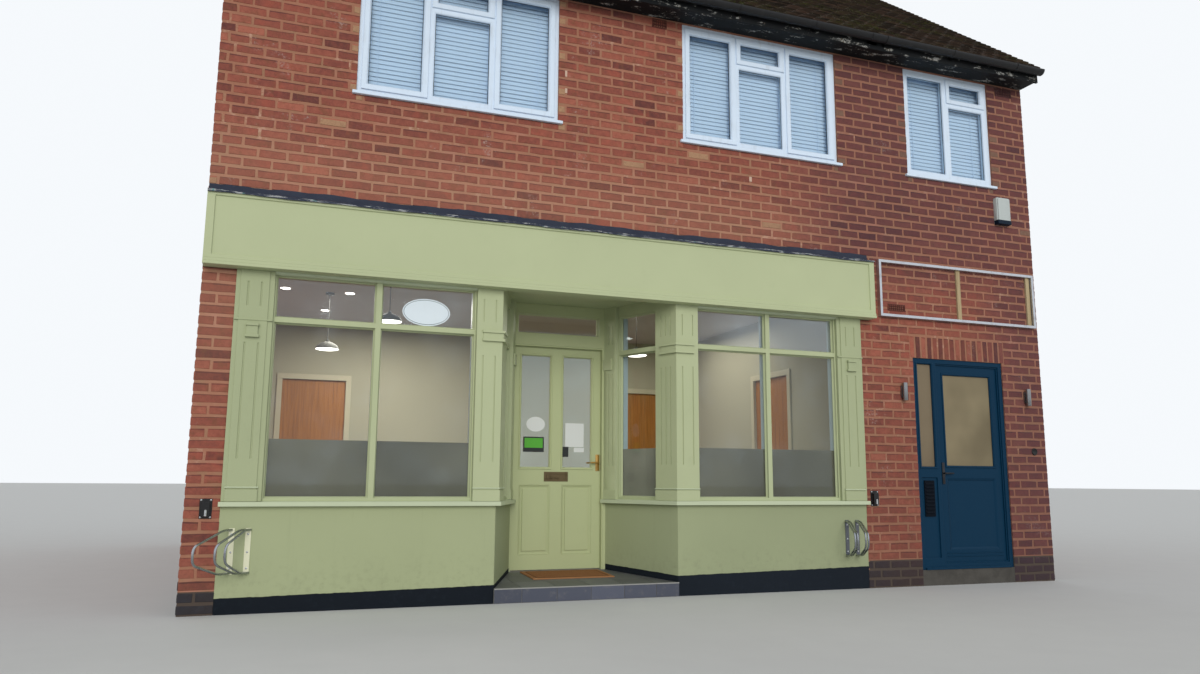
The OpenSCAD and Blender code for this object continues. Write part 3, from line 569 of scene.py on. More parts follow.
@dataclass(frozen=True)
class PeelingPaint(Finish):
    """Black eaves boards with the old white showing through."""

    share: float = 0.615
    blacks: tuple[Colour, Colour] = ((0.006, 0.007, 0.008), (0.014, 0.015, 0.016))
    white: Colour = (0.34, 0.34, 0.32)
    timber: Colour = (0.10, 0.08, 0.055)

    def build(self, g: Graph) -> Node:
        """Flaked black over white over bare timber.

        Args:
            g: the material's graph.

        Returns:
            The shader.
        """
        patch, fine = g.noise((5.0, 16.0, 16.0), 5.0, 0.65), g.noise((36.0, 60.0, 60.0), 4.0, 0.7)
        worn = (patch * 0.7 + fine * 0.3).step(self.share - 0.06, self.share)
        bare = g.mix(g.noise(40.0).step(0.55, 0.6), self.white, self.timber)
        colour = g.mix(worn, g.mix(g.noise(18.0), *self.blacks), bare)
        return g.shade(colour, 0.6 + worn * 0.3, g.bump(1.0 - worn, 0.0008), shine=0.14)


@dataclass(frozen=True)
class Plastic(Finish):
    """Moulded plastic with a light film of dirt."""

    colour: Colour = (0.80, 0.83, 0.86)
    gloss: float = 0.28
    grime: float = 0.35
    dirt: Colour = (0.30, 0.29, 0.26)
    shine: float = 0.4

    def build(self, g: Graph) -> Node:
        """Smooth plastic, dull where rain has left dirt.

        Args:
            g: the material's graph.

        Returns:
            The shader.
        """
        film = g.noise((16.0, 16.0, 3.0), 5.0, 0.65).step(0.50, 0.88) * self.grime
        rough = g.noise(30.0) * 0.12 + self.gloss + film * 0.4
        normal = g.bump(g.noise(2.2, 2.0), 0.0006)
        return g.shade(g.mix(film, self.colour, self.dirt), rough, normal, shine=self.shine)


@dataclass(frozen=True)
class Metal(Finish):
    """Bare or plated metal with fine brushing."""

    colour: Colour = (0.55, 0.56, 0.57)
    gloss: float = 0.3
    stain: Colour = (0.25, 0.23, 0.20)
    stain_share: float = 0.3

    def build(self, g: Graph) -> Node:
        """Brushed metal with dull patches.

        Args:
            g: the material's graph.

        Returns:
            The shader.
        """
        dull = g.noise(14.0, 4.0, 0.65).step(0.48, 0.8) * self.stain_share
        brushed = g.noise((20.0, 300.0, 300.0), 2.0, 0.6)
        rough = brushed * 0.14 + self.gloss + dull * 0.4
        return g.shade(g.mix(dull, self.colour, self.stain), rough, g.bump(brushed, 0.0002), Metallic=1.0)


@dataclass(frozen=True)
class Lead(Finish):
    """Weathered lead, dark with pale marks at its torn edges."""

    sheet: tuple[Colour, Colour] = ((0.026, 0.031, 0.048), (0.048, 0.056, 0.083))
    dust: Colour = (0.20, 0.22, 0.24)
    marks: tuple[Colour, Colour] = ((0.46, 0.47, 0.47), (0.15, 0.33, 0.31))
    lip_z: Span = (3.250, 3.258)

    def build(self, g: Graph) -> Node:
        """Dull grey with white bloom.

        Args:
            g: the material's graph.

        Returns:
            The shader.
        """
        lip = 1.0 - g.axes()[2].step(*self.lip_z)
        flecks = g.noise((9.0, 40.0, 120.0), 5.0, 0.75).step(0.53, 0.59)
        colour = g.coats(
            g.mix(g.noise(9.0, 4.0), *self.sheet),
            (g.noise((20.0, 60.0, 60.0), 4.0, 0.7).step(0.62, 0.78) * 0.35, self.dust),
            (flecks * lip * 0.9, g.mix(g.noise(26.0, 2.0).step(0.55, 0.65), *self.marks)),
        )
        return g.shade(colour, 0.7, g.bump(g.noise(13.0, 4.0), 0.006), shine=0.14)


@dataclass(frozen=True)
class StepTile(Finish):
    """Grey floor tiles with scuffs."""

    colour: Colour = (0.105, 0.108, 0.112)
    scuffed: Colour = (0.20, 0.195, 0.185)
    speck: Colour = (0.05, 0.05, 0.05)

    def build(self, g: Graph) -> Node:
        """Tone by tile, scuffed and a little stained.

        Args:
            g: the material's graph.

        Returns:
            The shader.
        """
        scuff = g.noise(17.0, 5.0, 0.7).step(0.5, 0.8) * 0.5
        colour = g.coats(
            g.varied(g.tone(), self.colour, 0.82, 1.2),
            (scuff, self.scuffed),
            ((g.cells(240.0) < 0.25) * 0.25, self.speck),
        )
        return g.shade(colour, 0.5 + scuff * 0.3, g.bump(g.noise(120.0), 0.0006), shine=0.4)


@dataclass(frozen=True)
class Concrete(Finish):
    """Cast concrete or grout."""

    colour: Colour = (0.26, 0.255, 0.235)

    def build(self, g: Graph) -> Node:
        """Grey with darker damp and pits.

        Args:
            g: the material's graph.

        Returns:
            The shader.
        """
        colour = g.varied(g.noise(6.0, 5.0, 0.65).step(0.38, 0.75) * 0.55, self.colour, 1.0, 0.45)
        pits = g.cells(130.0).step(0.0, 0.4) * 0.5 + g.noise(60.0, 4.0)
        return g.shade(colour, 0.9, g.bump(pits, 0.0025), shine=0.2)


@dataclass(frozen=True)
class Coir(Finish):
    """Coarse brown door matting with a sewn margin."""

    centre: tuple[float, float] = (-1.005, -3.625)
    half: tuple[float, float] = (0.390, 0.225)
    margin: float = 0.035
    seam: float = 0.016
    browns: Stops = (
        (0.25, (0.130, 0.058, 0.026)),
        (0.5, (0.330, 0.145, 0.062)),
        (0.78, (0.56, 0.280, 0.130)),
    )
    worn: Colour = (0.24, 0.135, 0.075)
    hem: Colour = (0.50, 0.26, 0.12)
    thread: Colour = (0.080, 0.034, 0.018)

    def build(self, g: Graph) -> Node:
        """Fibres of several browns.

        Args:
            g: the material's graph.

        Returns:
            The shader.
        """
        fibre = g.noise(520.0, 2.0, 0.8)
        x, y, _ = g.axes()
        across = (x - self.centre[0]).math("ABSOLUTE") - self.half[0]
        along = (y - self.centre[1]).math("ABSOLUTE") - self.half[1]
        edge = across.math("MAXIMUM", along)
        colour = g.coats(
            g.ramp(fibre, self.browns),
            (g.noise(5.0, 4.0).step(0.5, 0.8) * 0.4, self.worn),
            ((edge > -self.margin) * 0.35, self.hem),
            ((edge > -self.margin - self.seam) * (edge < -self.margin) * 0.65, self.thread),
        )
        return g.shade(colour, 0.97, g.bump(fibre, 0.005), shine=0.1)


@dataclass(frozen=True)
class Wood(Finish):
    """Varnished or sawn timber with its grain upright."""

    light: Colour = (0.46, 0.22, 0.075)
    dark: Colour = (0.20, 0.080, 0.025)
    gloss: float = 0.35

    def build(self, g: Graph) -> Node:
        """Long grain lines with slow figure.

        Args:
            g: the material's graph.

        Returns:
            The shader.
        """
        lines = g.noise((60.0, 60.0, 2.2), 5.0, 0.65)
        colour = g.mix(lines.step(0.35, 0.7), self.light, self.dark)
        colour = g.mix(g.noise(1.6) * 0.35, colour, scaled(self.light, 0.6))
        return g.shade(colour, self.gloss + lines * 0.15, g.bump(lines, 0.0005), shine=0.4)


@dataclass(frozen=True)
class Plaster(Finish):
    """Painted plaster indoors."""

    colour: Colour = (0.40, 0.38, 0.29)

    def build(self, g: Graph) -> Node:
        """Nearly even wall paint."""
        colour = g.varied(g.noise(2.0), self.colour, 0.94, 1.05)
        return g.shade(colour, 0.85, g.bump(g.noise(45.0), 0.0002), shine=0.2)


@dataclass(frozen=True)
class ClearGlass(Finish):
    """Window glass: seen through head on, a mirror at a slant."""

    tint: Colour = (0.95, 0.97, 0.96)
    sky: Colour = (0.80, 0.88, 0.96)
    least: float = 0.028
    upper_share: float = 0.065
    # Where a painted reflection raises the mirror share: the top panes, more to the right
    reflection_x: Span = (0.2, 0.6)
    reflection_z: Span = (2.26, 2.31)

    def build(self, g: Graph) -> Node:
        """Clear pane mixed with its reflection, and a painted reflection: more mirror in the top panes, most
        to the right.

        Args:
            g: the material's graph.

        Returns:
            The shader.
        """
        mirror = g.shade(self.sky, 0.03, None, Metallic=1.0)
        clear = g.add("ShaderNodeBsdfTransparent", {}, {0: self.tint})
        facing = Socket(g, g.add("ShaderNodeLayerWeight", {}, {"Blend": 0.5}).outputs["Facing"])
        slant = facing.math("POWER", 5.0) * 0.8
        smear = g.noise(2.6, 4.0).step(0.45, 0.8) * 0.03
        x, _, z = g.axes()
        # Painted reflection: more mirror in the top panes, most to the right
        top_reflection = (x.step(*self.reflection_x) + 0.5) * z.step(*self.reflection_z)
        return g.blend(top_reflection * self.upper_share + slant + smear + self.least, clear, mirror)


@dataclass(frozen=True)
class FrostedGlass(Finish):
    """Obscured glass or etched film that lets light through."""

    colour: Colour = (0.20, 0.20, 0.175)
    share: float = 0.82
    grain: float = 300.0
    depth: float = 0.0000025

    def build(self, g: Graph) -> Node:
        """Grey veil over the dim room.

        Args:
            g: the material's graph.

        Returns:
            The shader.
        """
        cloud = g.noise(1.1).step(0.3, 0.7)
        low = (1.0 - g.axes()[2].step(0.85, 1.3)) * 0.25
        colour = g.mix(low, g.varied(cloud, self.colour, 0.82, 1.24), scaled(self.colour, 0.75))
        veil = g.shade(colour, 0.5, g.bump(g.noise(self.grain, 2.0), self.depth), shine=0.15)
        clear = g.add("ShaderNodeBsdfTransparent", {}, {0: (0.8, 0.8, 0.78)})
        return g.blend(cloud * 0.06 + self.share, clear, veil)


@dataclass(frozen=True)
class Lamp(Finish):
    """A lit lamp face."""

    colour: Colour = (1.0, 0.95, 0.88)
    strength: float = 4.0

    def build(self, g: Graph) -> Node:
        """White diffuser that gives light."""
        glow = g.varied(g.noise(20.0), self.colour, 1.0, 0.95)
        return g.shade((0.8, 0.8, 0.78), 0.5, None, Emission_Color=glow, Emission_Strength=self.strength)


SAGE = Paint("sage_paint", (0.440, 0.485, 0.293))
SAGE_DOOR = Paint("sage_door_paint", (0.435, 0.478, 0.262), gloss=0.38)
SAGE_PIER = Paint("sage_pier_paint", (0.372, 0.414, 0.246))
SAGE_TOP = Paint("sage_fascia_paint", (0.465, 0.512, 0.309), gloss=0.5, grime=0.15)
# A lighter copy of the sage paint as painted light: highlights on the sills, the bed moulds and the pilaster
# foot caps
SAGE_LIT = Paint("sage_sill_paint", (0.510, 0.570, 0.395), gloss=0.34, grime=0.12)
NAVY = Plastic("navy_foil", (0.003, 0.028, 0.062), 0.4, 0.12, (0.02, 0.05, 0.07), 0.12)
WHITE = Plastic("white_profile", (0.67, 0.78, 0.91), 0.3)
GASKET = Plastic("window_gasket", (0.020, 0.024, 0.030), 0.5, 0.1, shine=0.15)
BLACK = Plastic("black_gutter_plastic", (0.010, 0.010, 0.011), 0.4, 0.4, (0.055, 0.053, 0.048))
LOCK_BLACK = Plastic("lock_body", (0.010, 0.010, 0.011), 0.3, 0.5, (0.08, 0.075, 0.07))
BRICK = BrickFace("red_brick")
MORTAR = Mortar("mortar")
GLASS = ClearGlass("shop_pane")
DOOR_GLASS = ClearGlass("door_pane", sky=(0.76, 0.90, 0.92), least=0.11)
UPPER_GLASS = ClearGlass("window_pane", sky=(0.70, 0.86, 1.0), least=0.06, upper_share=0.0)
BRASS = Metal("brass", (0.62, 0.36, 0.11), 0.22, (0.25, 0.13, 0.04), 0.4)
BRONZE = Metal("dull_bronze", (0.21, 0.155, 0.085), 0.42, (0.08, 0.06, 0.035), 0.6)
STEEL = Metal("brushed_steel", (0.30, 0.31, 0.32), 0.28)
CHROME = Metal("worn_chrome", (0.62, 0.63, 0.64), 0.12, (0.22, 0.21, 0.19), 0.5)
DARK_STEEL = Metal("dark_handle", (0.050, 0.050, 0.055), 0.35)
RACK_TUBE = Metal("rack_tube", (0.38, 0.40, 0.43), 0.16, (0.15, 0.14, 0.13), 0.4)
ALUMINIUM = Metal("mill_aluminium", (0.62, 0.64, 0.68), 0.36)
BATTENS = Wood("battens", (0.20, 0.14, 0.085), (0.10, 0.065, 0.04), 0.8)


# Geometry

# Edges sharper than these, in degrees, stay sharp in shading and are bevelled
SHARP_ANGLE = 35
BEVEL_ANGLE = 32
# Corners of a CAD mesh closer than this, in metres, are one
SAME_POINT = 2e-5
# Faces that turn less than this, in degrees, are one
FLAT_ANGLE = 0.6


def rectangle(x: Span, y: Span, z: float) -> list[Point]:
    """The four corners of a level rectangle."""
    return [(x[0], y[0], z), (x[1], y[0], z), (x[1], y[1], z), (x[0], y[1], z)]


def circle(sides: int) -> list[tuple[float, float]]:
    """The points of a unit circle."""
    turns = [2 * math.pi * k / sides for k in range(sides)]
    return [(math.cos(a), math.sin(a)) for a in turns]


class Solid:
    """Faces gathered in metres and turned into one piece."""

    def __init__(self, place: Matrix | None = None) -> None:
        """Starts empty.

        Args:
            place: where the points that follow are put.
        """
        self.place = place or Matrix.Identity(4)
        self.points: list[Place] = []
        self.faces: list[tuple[int, ...]] = []
        self.tones: list[float] = []

    def loops(self, rings: Sequence[Sequence[Point]], tone: float = 0.5, closed: bool = False) -> None:
        """Skins a row of rings that have the same number of points, and closes its ends.

        Args:
            rings: the rings, in order.
            tone: the random tone of these faces.
            closed: True if the last ring meets the first.
        """
        start = len(self.points)
        count = len(rings[0])
        for ring in rings:
            self.points.extend(tuple(self.place @ Vector(p)) for p in ring)
        rows = len(rings) if closed else len(rings) - 1
        faces = []
        for r in range(rows):
            a = start + r * count
            b = start + ((r + 1) % len(rings)) * count
            for k in range(count):
                n = (k + 1) % count
                faces.append((a + k, a + n, b + n, b + k))
        if not closed:
            faces.append(tuple(range(start, start + count)))
            faces.append(tuple(range(start + (len(rings) - 1) * count, start + len(rings) * count)))
        self.faces.extend(faces)
        self.tones.extend([tone] * len(faces))

    def box(self, x: Span, y: Span, z: Span, tone: float = 0.5) -> None:
        """A box between three pairs of limits."""
        self.loops([rectangle(x, y, h) for h in z], tone)

    def bar(self, section: Sequence[Point], x: Span, tone: float = 0.5) -> None:
        """A length of moulding along X, with its section as (y, z) points."""
        self.loops([[(end, *p) for p in section] for end in x], tone)

    def ring(self, rect: Rect, section: Sequence[Point], face: float) -> None:
        """A mitred frame in the wall's plane, facing -Y.

        Args:
            rect: x0, x1, z0, z1 of its outer edge.
            section: (inset, height) points of the section, round once.
            face: the Y that height is measured from.
        """
        x0, x1, z0, z1 = rect
        corners = []
        for x, z, sx, sz in ((x0, z0, 1, 1), (x1, z0, -1, 1), (x1, z1, -1, -1), (x0, z1, 1, -1)):
            corners.append([(x + sx * inset, face - height, z + sz * inset) for inset, height in section])
        self.loops(corners, closed=True)

    def oval(self, centre: Point, radii: Span, y: Span) -> None:
        """A flat oval that faces -Y, round the (x, z) of its middle, between its back and its front."""
        outline = [(centre[0] + radii[0] * c, centre[1] + radii[1] * s) for c, s in circle(48)]
        self.loops([[(px, d, pz) for px, pz in outline] for d in y])

    def turned(self, centre: Point, axis: Point, profile: Sequence[Point], sides: int = 24) -> None:
        """A turned piece.

        Args:
            centre: a point on its axis.
            axis: along the axis.
            profile: (distance along, radius) points.
            sides: facets round it.
        """
        spin = Vector(axis).to_track_quat("Z", "Y").to_matrix()
        rings = []
        for along, radius in profile:
            flat = [Vector((radius * c, radius * s, along)) for c, s in circle(sides)]
            rings.append([tuple(Vector(centre) + spin @ p) for p in flat])
        self.loops(rings)

    def tube(self, path: Sequence[Point], radius: float, bend: float) -> None:
        """A round bar with rounded bends.

        Args:
            path: its corner points.
            radius: of the bar.
            bend: radius of each bend.
        """
        pts = [Vector(p) for p in path]
        line = [pts[0]]
        for before, here, after in zip(pts, pts[1:], pts[2:]):
            cut = min(bend, 0.45 * (before - here).length, 0.45 * (after - here).length)
            start = here + (before - here).normalized() * cut
            end = here + (after - here).normalized() * cut
            for k in range(6):
                t = k / 5
                line.append(start * (1 - t) ** 2 + here * 2 * t * (1 - t) + end * t * t)
        line.append(pts[-1])
        side = (line[1] - line[0]).orthogonal().normalized()
        rings = []
        for k, p in enumerate(line):
            ahead = line[min(k + 1, len(line) - 1)] - line[max(k - 1, 0)]
            ahead.normalize()
            side = (side - ahead * side.dot(ahead)).normalized()
            up = ahead.cross(side)
            rings.append([tuple(p + side * c * radius + up * s * radius) for c, s in circle(12)])
        self.loops(rings)

    def piece(
        self,
        name: str,
        finish: Finish,
        slot: str,
        body: str = "building",
        replaces: Sequence[str] = (),
        bevel: float = 0.0,
        smooth: bool = False,
    ) -> None:
        """Turns the faces into one named piece.

        Args:
            name: the piece's name.
            finish: what it is made of.
            slot: the record's material slot; not used.
            body: the body it moves with.
            replaces: CAD nodes it stands for.
            bevel: width of its softened edges.
            smooth: True to shade it smooth between sharp edges.
        """
        mesh = bpy.data.meshes.new(name)
        mesh.from_pydata(self.points, [], self.faces)
        layer = mesh.attributes.new("tone", "FLOAT", "FACE")
        layer.data.foreach_set("value", self.tones)
        bm = bmesh.new()
        bm.from_mesh(mesh)
        Making(finish, slot, body, replaces, bevel, smooth).settle(bm, mesh)


@dataclass(frozen=True)
class Making:
    """How a shape becomes a piece: its finish, record slot, body, CAD nodes and soft edges."""

    finish: Finish
    slot: str
    body: str
    replaces: Sequence[str]
    bevel: float
    smooth: bool

    def settle(self, bm: bmesh.types.BMesh, mesh: bpy.types.Mesh) -> None:
        """Makes the piece.

        Args:
            bm: the shape, which is freed.
            mesh: the mesh that takes it, with the piece's name.
        """
        bmesh.ops.recalc_face_normals(bm, faces=bm.faces)
        bm.to_mesh(mesh)
        bm.free()
        obj = bpy.data.objects.new(mesh.name, mesh)
        bpy.context.scene.collection.objects.link(obj)
        mesh.materials.append(self.finish.material())
        if self.smooth:
            mesh.shade_smooth()
            mesh.set_sharp_from_angle(angle=math.radians(SHARP_ANGLE))
        if self.bevel:
            soft = obj.modifiers.new("soft_edges", "BEVEL")
            soft.width = self.bevel
            soft.segments = 2
            soft.limit_method = "ANGLE"
            soft.angle_limit = math.radians(BEVEL_ANGLE)
            soft.harden_normals = False
        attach(obj, self.body)
        if self.replaces:
            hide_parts(*self.replaces)
        log.info("%s: %d faces of %s on %s", obj.name, len(mesh.polygons), self.finish.name, self.body)


def slot_of(node: str) -> str:
    """The record's material slot of a CAD node."""
    return next(s["material_slot"] for s in frame["record"]["subparts"] if s["node"] == node)


def body_of(node: str) -> str:
    """The body that a CAD node belongs to."""
    return next(b for b, nodes in frame["record"]["behaviour"]["bodies"].items() if node in nodes)


def paint(finish: Finish, *nodes: str) -> None:
    """Gives CAD nodes their finish, without a change of shape.

    Args:
        finish: what they are made of.
        nodes: the CAD nodes.
    """
    for node in nodes:
        mesh = frame["nodes"][node].data
        mesh.materials.clear()
        mesh.materials.append(finish.material())
        log.info("%s: finished in %s", node, finish.name)


def soften(finish: Finish, *nodes: str, bevel: float = 0.003, smooth: bool = False) -> None:
    """Stands a soft-edged copy in for each CAD node of the same shape.

    Args:
        finish: what they are made of.
        nodes: the CAD nodes.
        bevel: width of their softened edges.
        smooth: True to shade them smooth between sharp edges.
    """
    for node in nodes:
        mesh = bpy.data.meshes.new(node + "_finished")
        bm = bmesh.new()
        bm.from_mesh(frame["nodes"][node].data)
        bmesh.ops.remove_doubles(bm, verts=bm.verts, dist=SAME_POINT)
        flat = math.radians(FLAT_ANGLE)
        bmesh.ops.dissolve_limit(bm, angle_limit=flat, verts=bm.verts, edges=bm.edges)
        bmesh.ops.triangulate(bm, faces=bm.faces)
        Making(finish, slot_of(node), body_of(node), (node,), bevel, smooth).settle(bm, mesh)


# Brickwork


@dataclass
class Brickwork:
    """Real bricks laid in stretcher bond over the plain walls."""

    pitch: float = 0.2286
    course: float = 0.0875
    joint: float = 0.0215
    bed: float = 0.0250
    back: float = 0.006
    rim: float = 0.0026
    proud: float = 0.0040
    proud_spread: Span = (-0.0010, 0.0014)
    lean: float = 0.0008
    chamfer: float = 0.0028
    chamfer_spread: Span = (0.7, 1.5)
    worn_top: float = 0.0100
    worn_spread: Span = (0.4, 1.3)
    end_w: float = 0.012
    # Tone shifts of a brick's top, bottom and upright chamfers: painted shade on top, painted light below and
    # at the sides
    painted_edge_tones: tuple[float, float, float] = (-0.50, 0.22, 0.10)
    wobble: float = 0.0028
    long_edge: float = 0.15
    stray: float = 0.003
    least: float = 0.016
    least_double_area: float = 0.0006
    closer: float = 0.062
    soffit_z: float = 5.512
    soldiers: Rect = (2.500, 3.752, 2.302, 2.520)
    soldier_w: float = 0.0745
    base_rows: int = 2
    right_base_rows: int = 3
    right_base_x: float = 1.9
    pale_from_z: float = 3.3
    pale_share: float = 0.014
    pale_short_share: float = 0.5
    short_share: float = 0.6
    party_w: float = 0.25
    dark_share: float = 0.03
    dark_tones: Span = (0.05, 0.18)
    red_mean: float = 0.58
    red_spread: float = 0.14
    soldier_tones: Spans = ((0.45, 0.9), (0.0, 0.3))
    pointed_share: float = 0.008
    pointing_out: float = 0.0048
    pointing_w: Span = (0.45, 0.75)
    pointing_low: Span = (0.0, 0.35)
    rng: random.Random = field(default_factory=lambda: random.Random(5))
    pointing: Solid = field(default_factory=Solid)

    def heights(self, x: float, z: Span, holes: Sequence[Rect]) -> list[Span]:
        """What the openings leave of a course at one place.

        Args:
            x: the place along the wall.
            z: the course's bottom and top.
            holes: the openings.

        Returns:
            The heights that are left.
        """
        parts = [z]
        for hx0, hx1, hz0, hz1 in holes:
            if not hx0 < x < hx1:
                continue
            left = []
            for z0, z1 in parts:
                if z1 <= hz0 or z0 >= hz1:
                    left.append((z0, z1))
                else:
                    left += [(z0, hz0), (hz1, z1)]
            parts = [p for p in left if p[1] - p[0] > self.least]
        return parts

    def stretches(self, span: Span, z: Span, holes: Sequence[Rect]) -> list[Rect]:
        """The stretches of a course between its openings.

        Args:
            span: the wall's two ends.
            z: the course's bottom and top.
            holes: the openings.

        Returns:
            Each stretch as x0, x1, z0, z1.
        """
        edges = {x for h in holes if h[2] < z[1] and h[3] > z[0] for x in h[:2] if span[0] < x < span[1]}
        cuts = sorted(edges | set(span))
        found: list[Rect] = []
        for a, b in zip(cuts, cuts[1:]):
            for z0, z1 in self.heights((a + b) / 2, z, holes):
                if found and found[-1][1:] == (a, z0, z1):
                    found[-1] = (found[-1][0], b, z0, z1)
                else:
                    found.append((a, b, z0, z1))
        return found

    def perpends(self, x0: float, x1: float, offset: float) -> list[float]:
        """The upright joints of one stretch.

        Args:
            x0: its start.
            x1: its end.
            offset: where the bond starts.

        Returns:
            The middles of the joints.
        """
        found = []
        first = math.ceil((x0 - offset) / self.pitch)
        last = math.floor((x1 - offset) / self.pitch)
        for k in range(first, last + 1):
            x = offset + k * self.pitch + self.rng.uniform(-self.stray, self.stray)
            if x1 - x0 > 2 * self.pitch:
                x = min(max(x, x0 + self.closer), x1 - self.closer)
            if x0 + self.closer <= x <= x1 - self.closer and (not found or x - found[-1] > self.closer):
                found.append(x)
        return found

    def tone(self, x: float, z: float, width: float) -> float:
        """The tone of a brick at a place in its wall.

        Args:
            x: its middle.
            z: its middle.
            width: its length.

        Returns:
            A tone from 0 to 1, or one of the two odd kinds.
        """
        rows = self.right_base_rows if x > self.right_base_x else self.base_rows
        if z < rows * self.course:
            return BLUE_BRICK
        draw = self.rng.random()
        short = width < self.short_share * self.pitch and abs(x) < HALF_W - self.party_w
        if z > self.pale_from_z and draw < (self.pale_short_share if short else self.pale_share):
            return PALE_BRICK
        if draw > 1.0 - self.dark_share:
            return self.rng.uniform(*self.dark_tones)
        return min(1.0, max(0.0, self.rng.gauss(self.red_mean, self.red_spread)))

    def brick(self, solid: Solid, outline: Sequence[Span], tone: float) -> None:
        """Lays one brick with worn edges; its chamfers carry painted shade on the top edge and painted light
        on the others.

        Args:
            solid: where it goes; x along the wall and -y outwards.
            outline: (x, z) corners of its face.
            tone: its tone.
        """
        out = self.proud + self.rng.uniform(*self.proud_spread)
        lean = self.rng.uniform(-self.lean, self.lean)
        cx = sum(p[0] for p in outline) / len(outline)
        cz = sum(p[1] for p in outline) / len(outline)
        side = self.chamfer * self.rng.uniform(*self.chamfer_spread)
        top = self.worn_top * self.rng.uniform(*self.worn_spread)
        outline = self.roughened(outline)
        face = []
        for x, z in outline:
            inward = side if abs(x - cx) > self.end_w else 0.0
            depth = -out - (lean if x > cx else -lean)
            face.append((x - math.copysign(inward, x - cx), depth, z - (top if z > cz else -side)))
        rims = [[(x, y, z) for x, z in outline] for y in (self.back, self.rim - out)]
        solid.loops([*rims, face], tone)
        # Painted shade on the top chamfer, painted light on the lower and upright ones
        if tone != BLUE_BRICK:
            over, under, beside = self.painted_edge_tones
            for k in range(len(outline)):
                (x0, z0), (x1, z1) = outline[k], outline[(k + 1) % len(outline)]
                level = abs(z1 - z0) < abs(x1 - x0)
                shift = (over if z0 > cz else under) if level else beside
                solid.tones[k - 2 - len(outline)] += shift

    def roughened(self, outline: Sequence[Span]) -> list[Span]:
        """A brick's outline with wavering edges.

        Args:
            outline: its corners.

        Returns:
            The corners and the middles of its long edges, moved a little.
        """
        w = self.wobble
        found = []
        for (x0, z0), (x1, z1) in zip(outline, [*outline[1:], outline[0]]):
            found.append((x0 + self.rng.uniform(-w, w), z0 + self.rng.uniform(-w, w)))
            if abs(x1 - x0) > self.long_edge:
                found.append(((x0 + x1) / 2, (z0 + z1) / 2 + self.rng.uniform(-w, w)))
        return found

    def lay(
        self,
        solid: Solid,
        half: float,
        top: float,
        holes: Sequence[Rect],
        roof: "Roof | None" = None,
    ) -> None:
        """Lays a wall's courses.

        Args:
            solid: where the bricks go.
            half: half the wall's length.
            top: its greatest height.
            holes: the openings in it.
            roof: the roof that a gable is cut to, or none.
        """
        for row in range(math.ceil(top / self.course)):
            z0 = row * self.course + self.bed / 2
            z1 = min(z0 + self.course - self.bed, top)
            if z1 - z0 < self.least:
                continue
            offset = (self.pitch / 2 if row % 2 else 0.0) - half
            for x0, x1, h0, h1 in self.stretches((-half, half), (z0, z1), holes):
                joints = self.perpends(x0, x1, offset)
                for x in joints:
                    if roof is None and self.rng.random() < self.pointed_share and h0 > self.pale_from_z:
                        self.point(x, h0, h1)
                edges = [x0, *(x + s * self.joint / 2 for x in joints for s in (-1, 1)), x1]
                for a, b in zip(edges[::2], edges[1::2]):
                    outline = [(a, h0), (b, h0), (b, h1), (a, h1)]
                    tone = self.tone((a + b) / 2, (h0 + h1) / 2, b - a)
                    if roof is not None:
                        outline = self.clipped(outline, roof)
                    if len(outline) >= 3:
                        self.brick(solid, outline, tone)

    def point(self, x: float, z0: float, z1: float) -> None:
        """Fills one upright joint of the street front with pale mortar.

        Args:
            x: the joint's middle.
            z0: its bottom.
            z1: its top.
        """
        half = self.joint * self.rng.uniform(*self.pointing_w)
        low = z0 + (z1 - z0) * self.rng.uniform(*self.pointing_low)
        self.pointing.box((x - half, x + half), (STREET_WALL - self.pointing_out, STREET_WALL), (low, z1))

    def clipped(self, outline: list[Span], roof: "Roof") -> list[Span]:
        """A brick's outline cut along the roof.

        Args:
            outline: its corners.
            roof: the roof.

        Returns:
            The corners that are left, or none.
        """
        kept: list[Span] = []
        for (x0, z0), (x1, z1) in zip(outline, outline[1:] + outline[:1]):
            d0, d1 = roof.gable_top(x0) - z0, roof.gable_top(x1) - z1
            if d0 >= 0:
                kept.append((x0, z0))
            if (d0 >= 0) != (d1 >= 0):
                t = d0 / (d0 - d1)
                kept.append((x0 + (x1 - x0) * t, z0 + (z1 - z0) * t))
        double_area = sum(a[0] * b[1] - b[0] * a[1] for a, b in zip(kept, kept[1:] + kept[:1]))
        return kept if abs(double_area) > self.least_double_area else []

    def wall(self, side: Side) -> Solid:
        """An empty wall with its x along the wall and -y outwards."""
        return Solid(side.turn @ Matrix.Translation((0, -HALF_W, 0)))

    def front(self, holes: Sequence[Rect]) -> None:
        """Lays the street front with its course of upright bricks.

        Args:
            holes: the openings in it.
        """
        solid = self.wall(Side.STREET)
        self.lay(solid, HALF_W, self.soffit_z, [*holes, self.soldiers])
        x0, x1, z0, z1 = self.soldiers
        count = round((x1 - x0) / self.soldier_w)
        for k in range(count):
            a = x0 + (x1 - x0) * k / count + self.joint / 2
            b = x0 + (x1 - x0) * (k + 1) / count - self.joint / 2
            tone = self.rng.uniform(*self.soldier_tones[k % 2])
            self.brick(solid, [(a, z0), (b, z0), (b, z1), (a, z1)], tone)
        solid.piece("front_brickwork", BRICK, "brickwork")
        self.pointing.piece("pale_pointing", Plaster("pale_mortar", (0.56, 0.40, 0.31)), "brickwork")

    def rear(self, holes: Sequence[Rect]) -> None:
        """Lays the yard side.

        Args:
            holes: the openings in it.
        """
        solid = self.wall(Side.YARD)
        self.lay(solid, HALF_W, self.soffit_z, holes)
        solid.piece("rear_brickwork", BRICK, "brickwork")

    def gable(self, side: Side, roof: "Roof") -> None:
        """Lays one party wall.

        Args:
            side: the left or the right.
            roof: the roof that it is cut to.
        """
        solid = self.wall(side)
        self.lay(solid, HALF_W, roof.gable_top(0.0), (), roof)
        solid.piece(side.name.lower() + "_gable_brickwork", BRICK, "brickwork")


# Roof


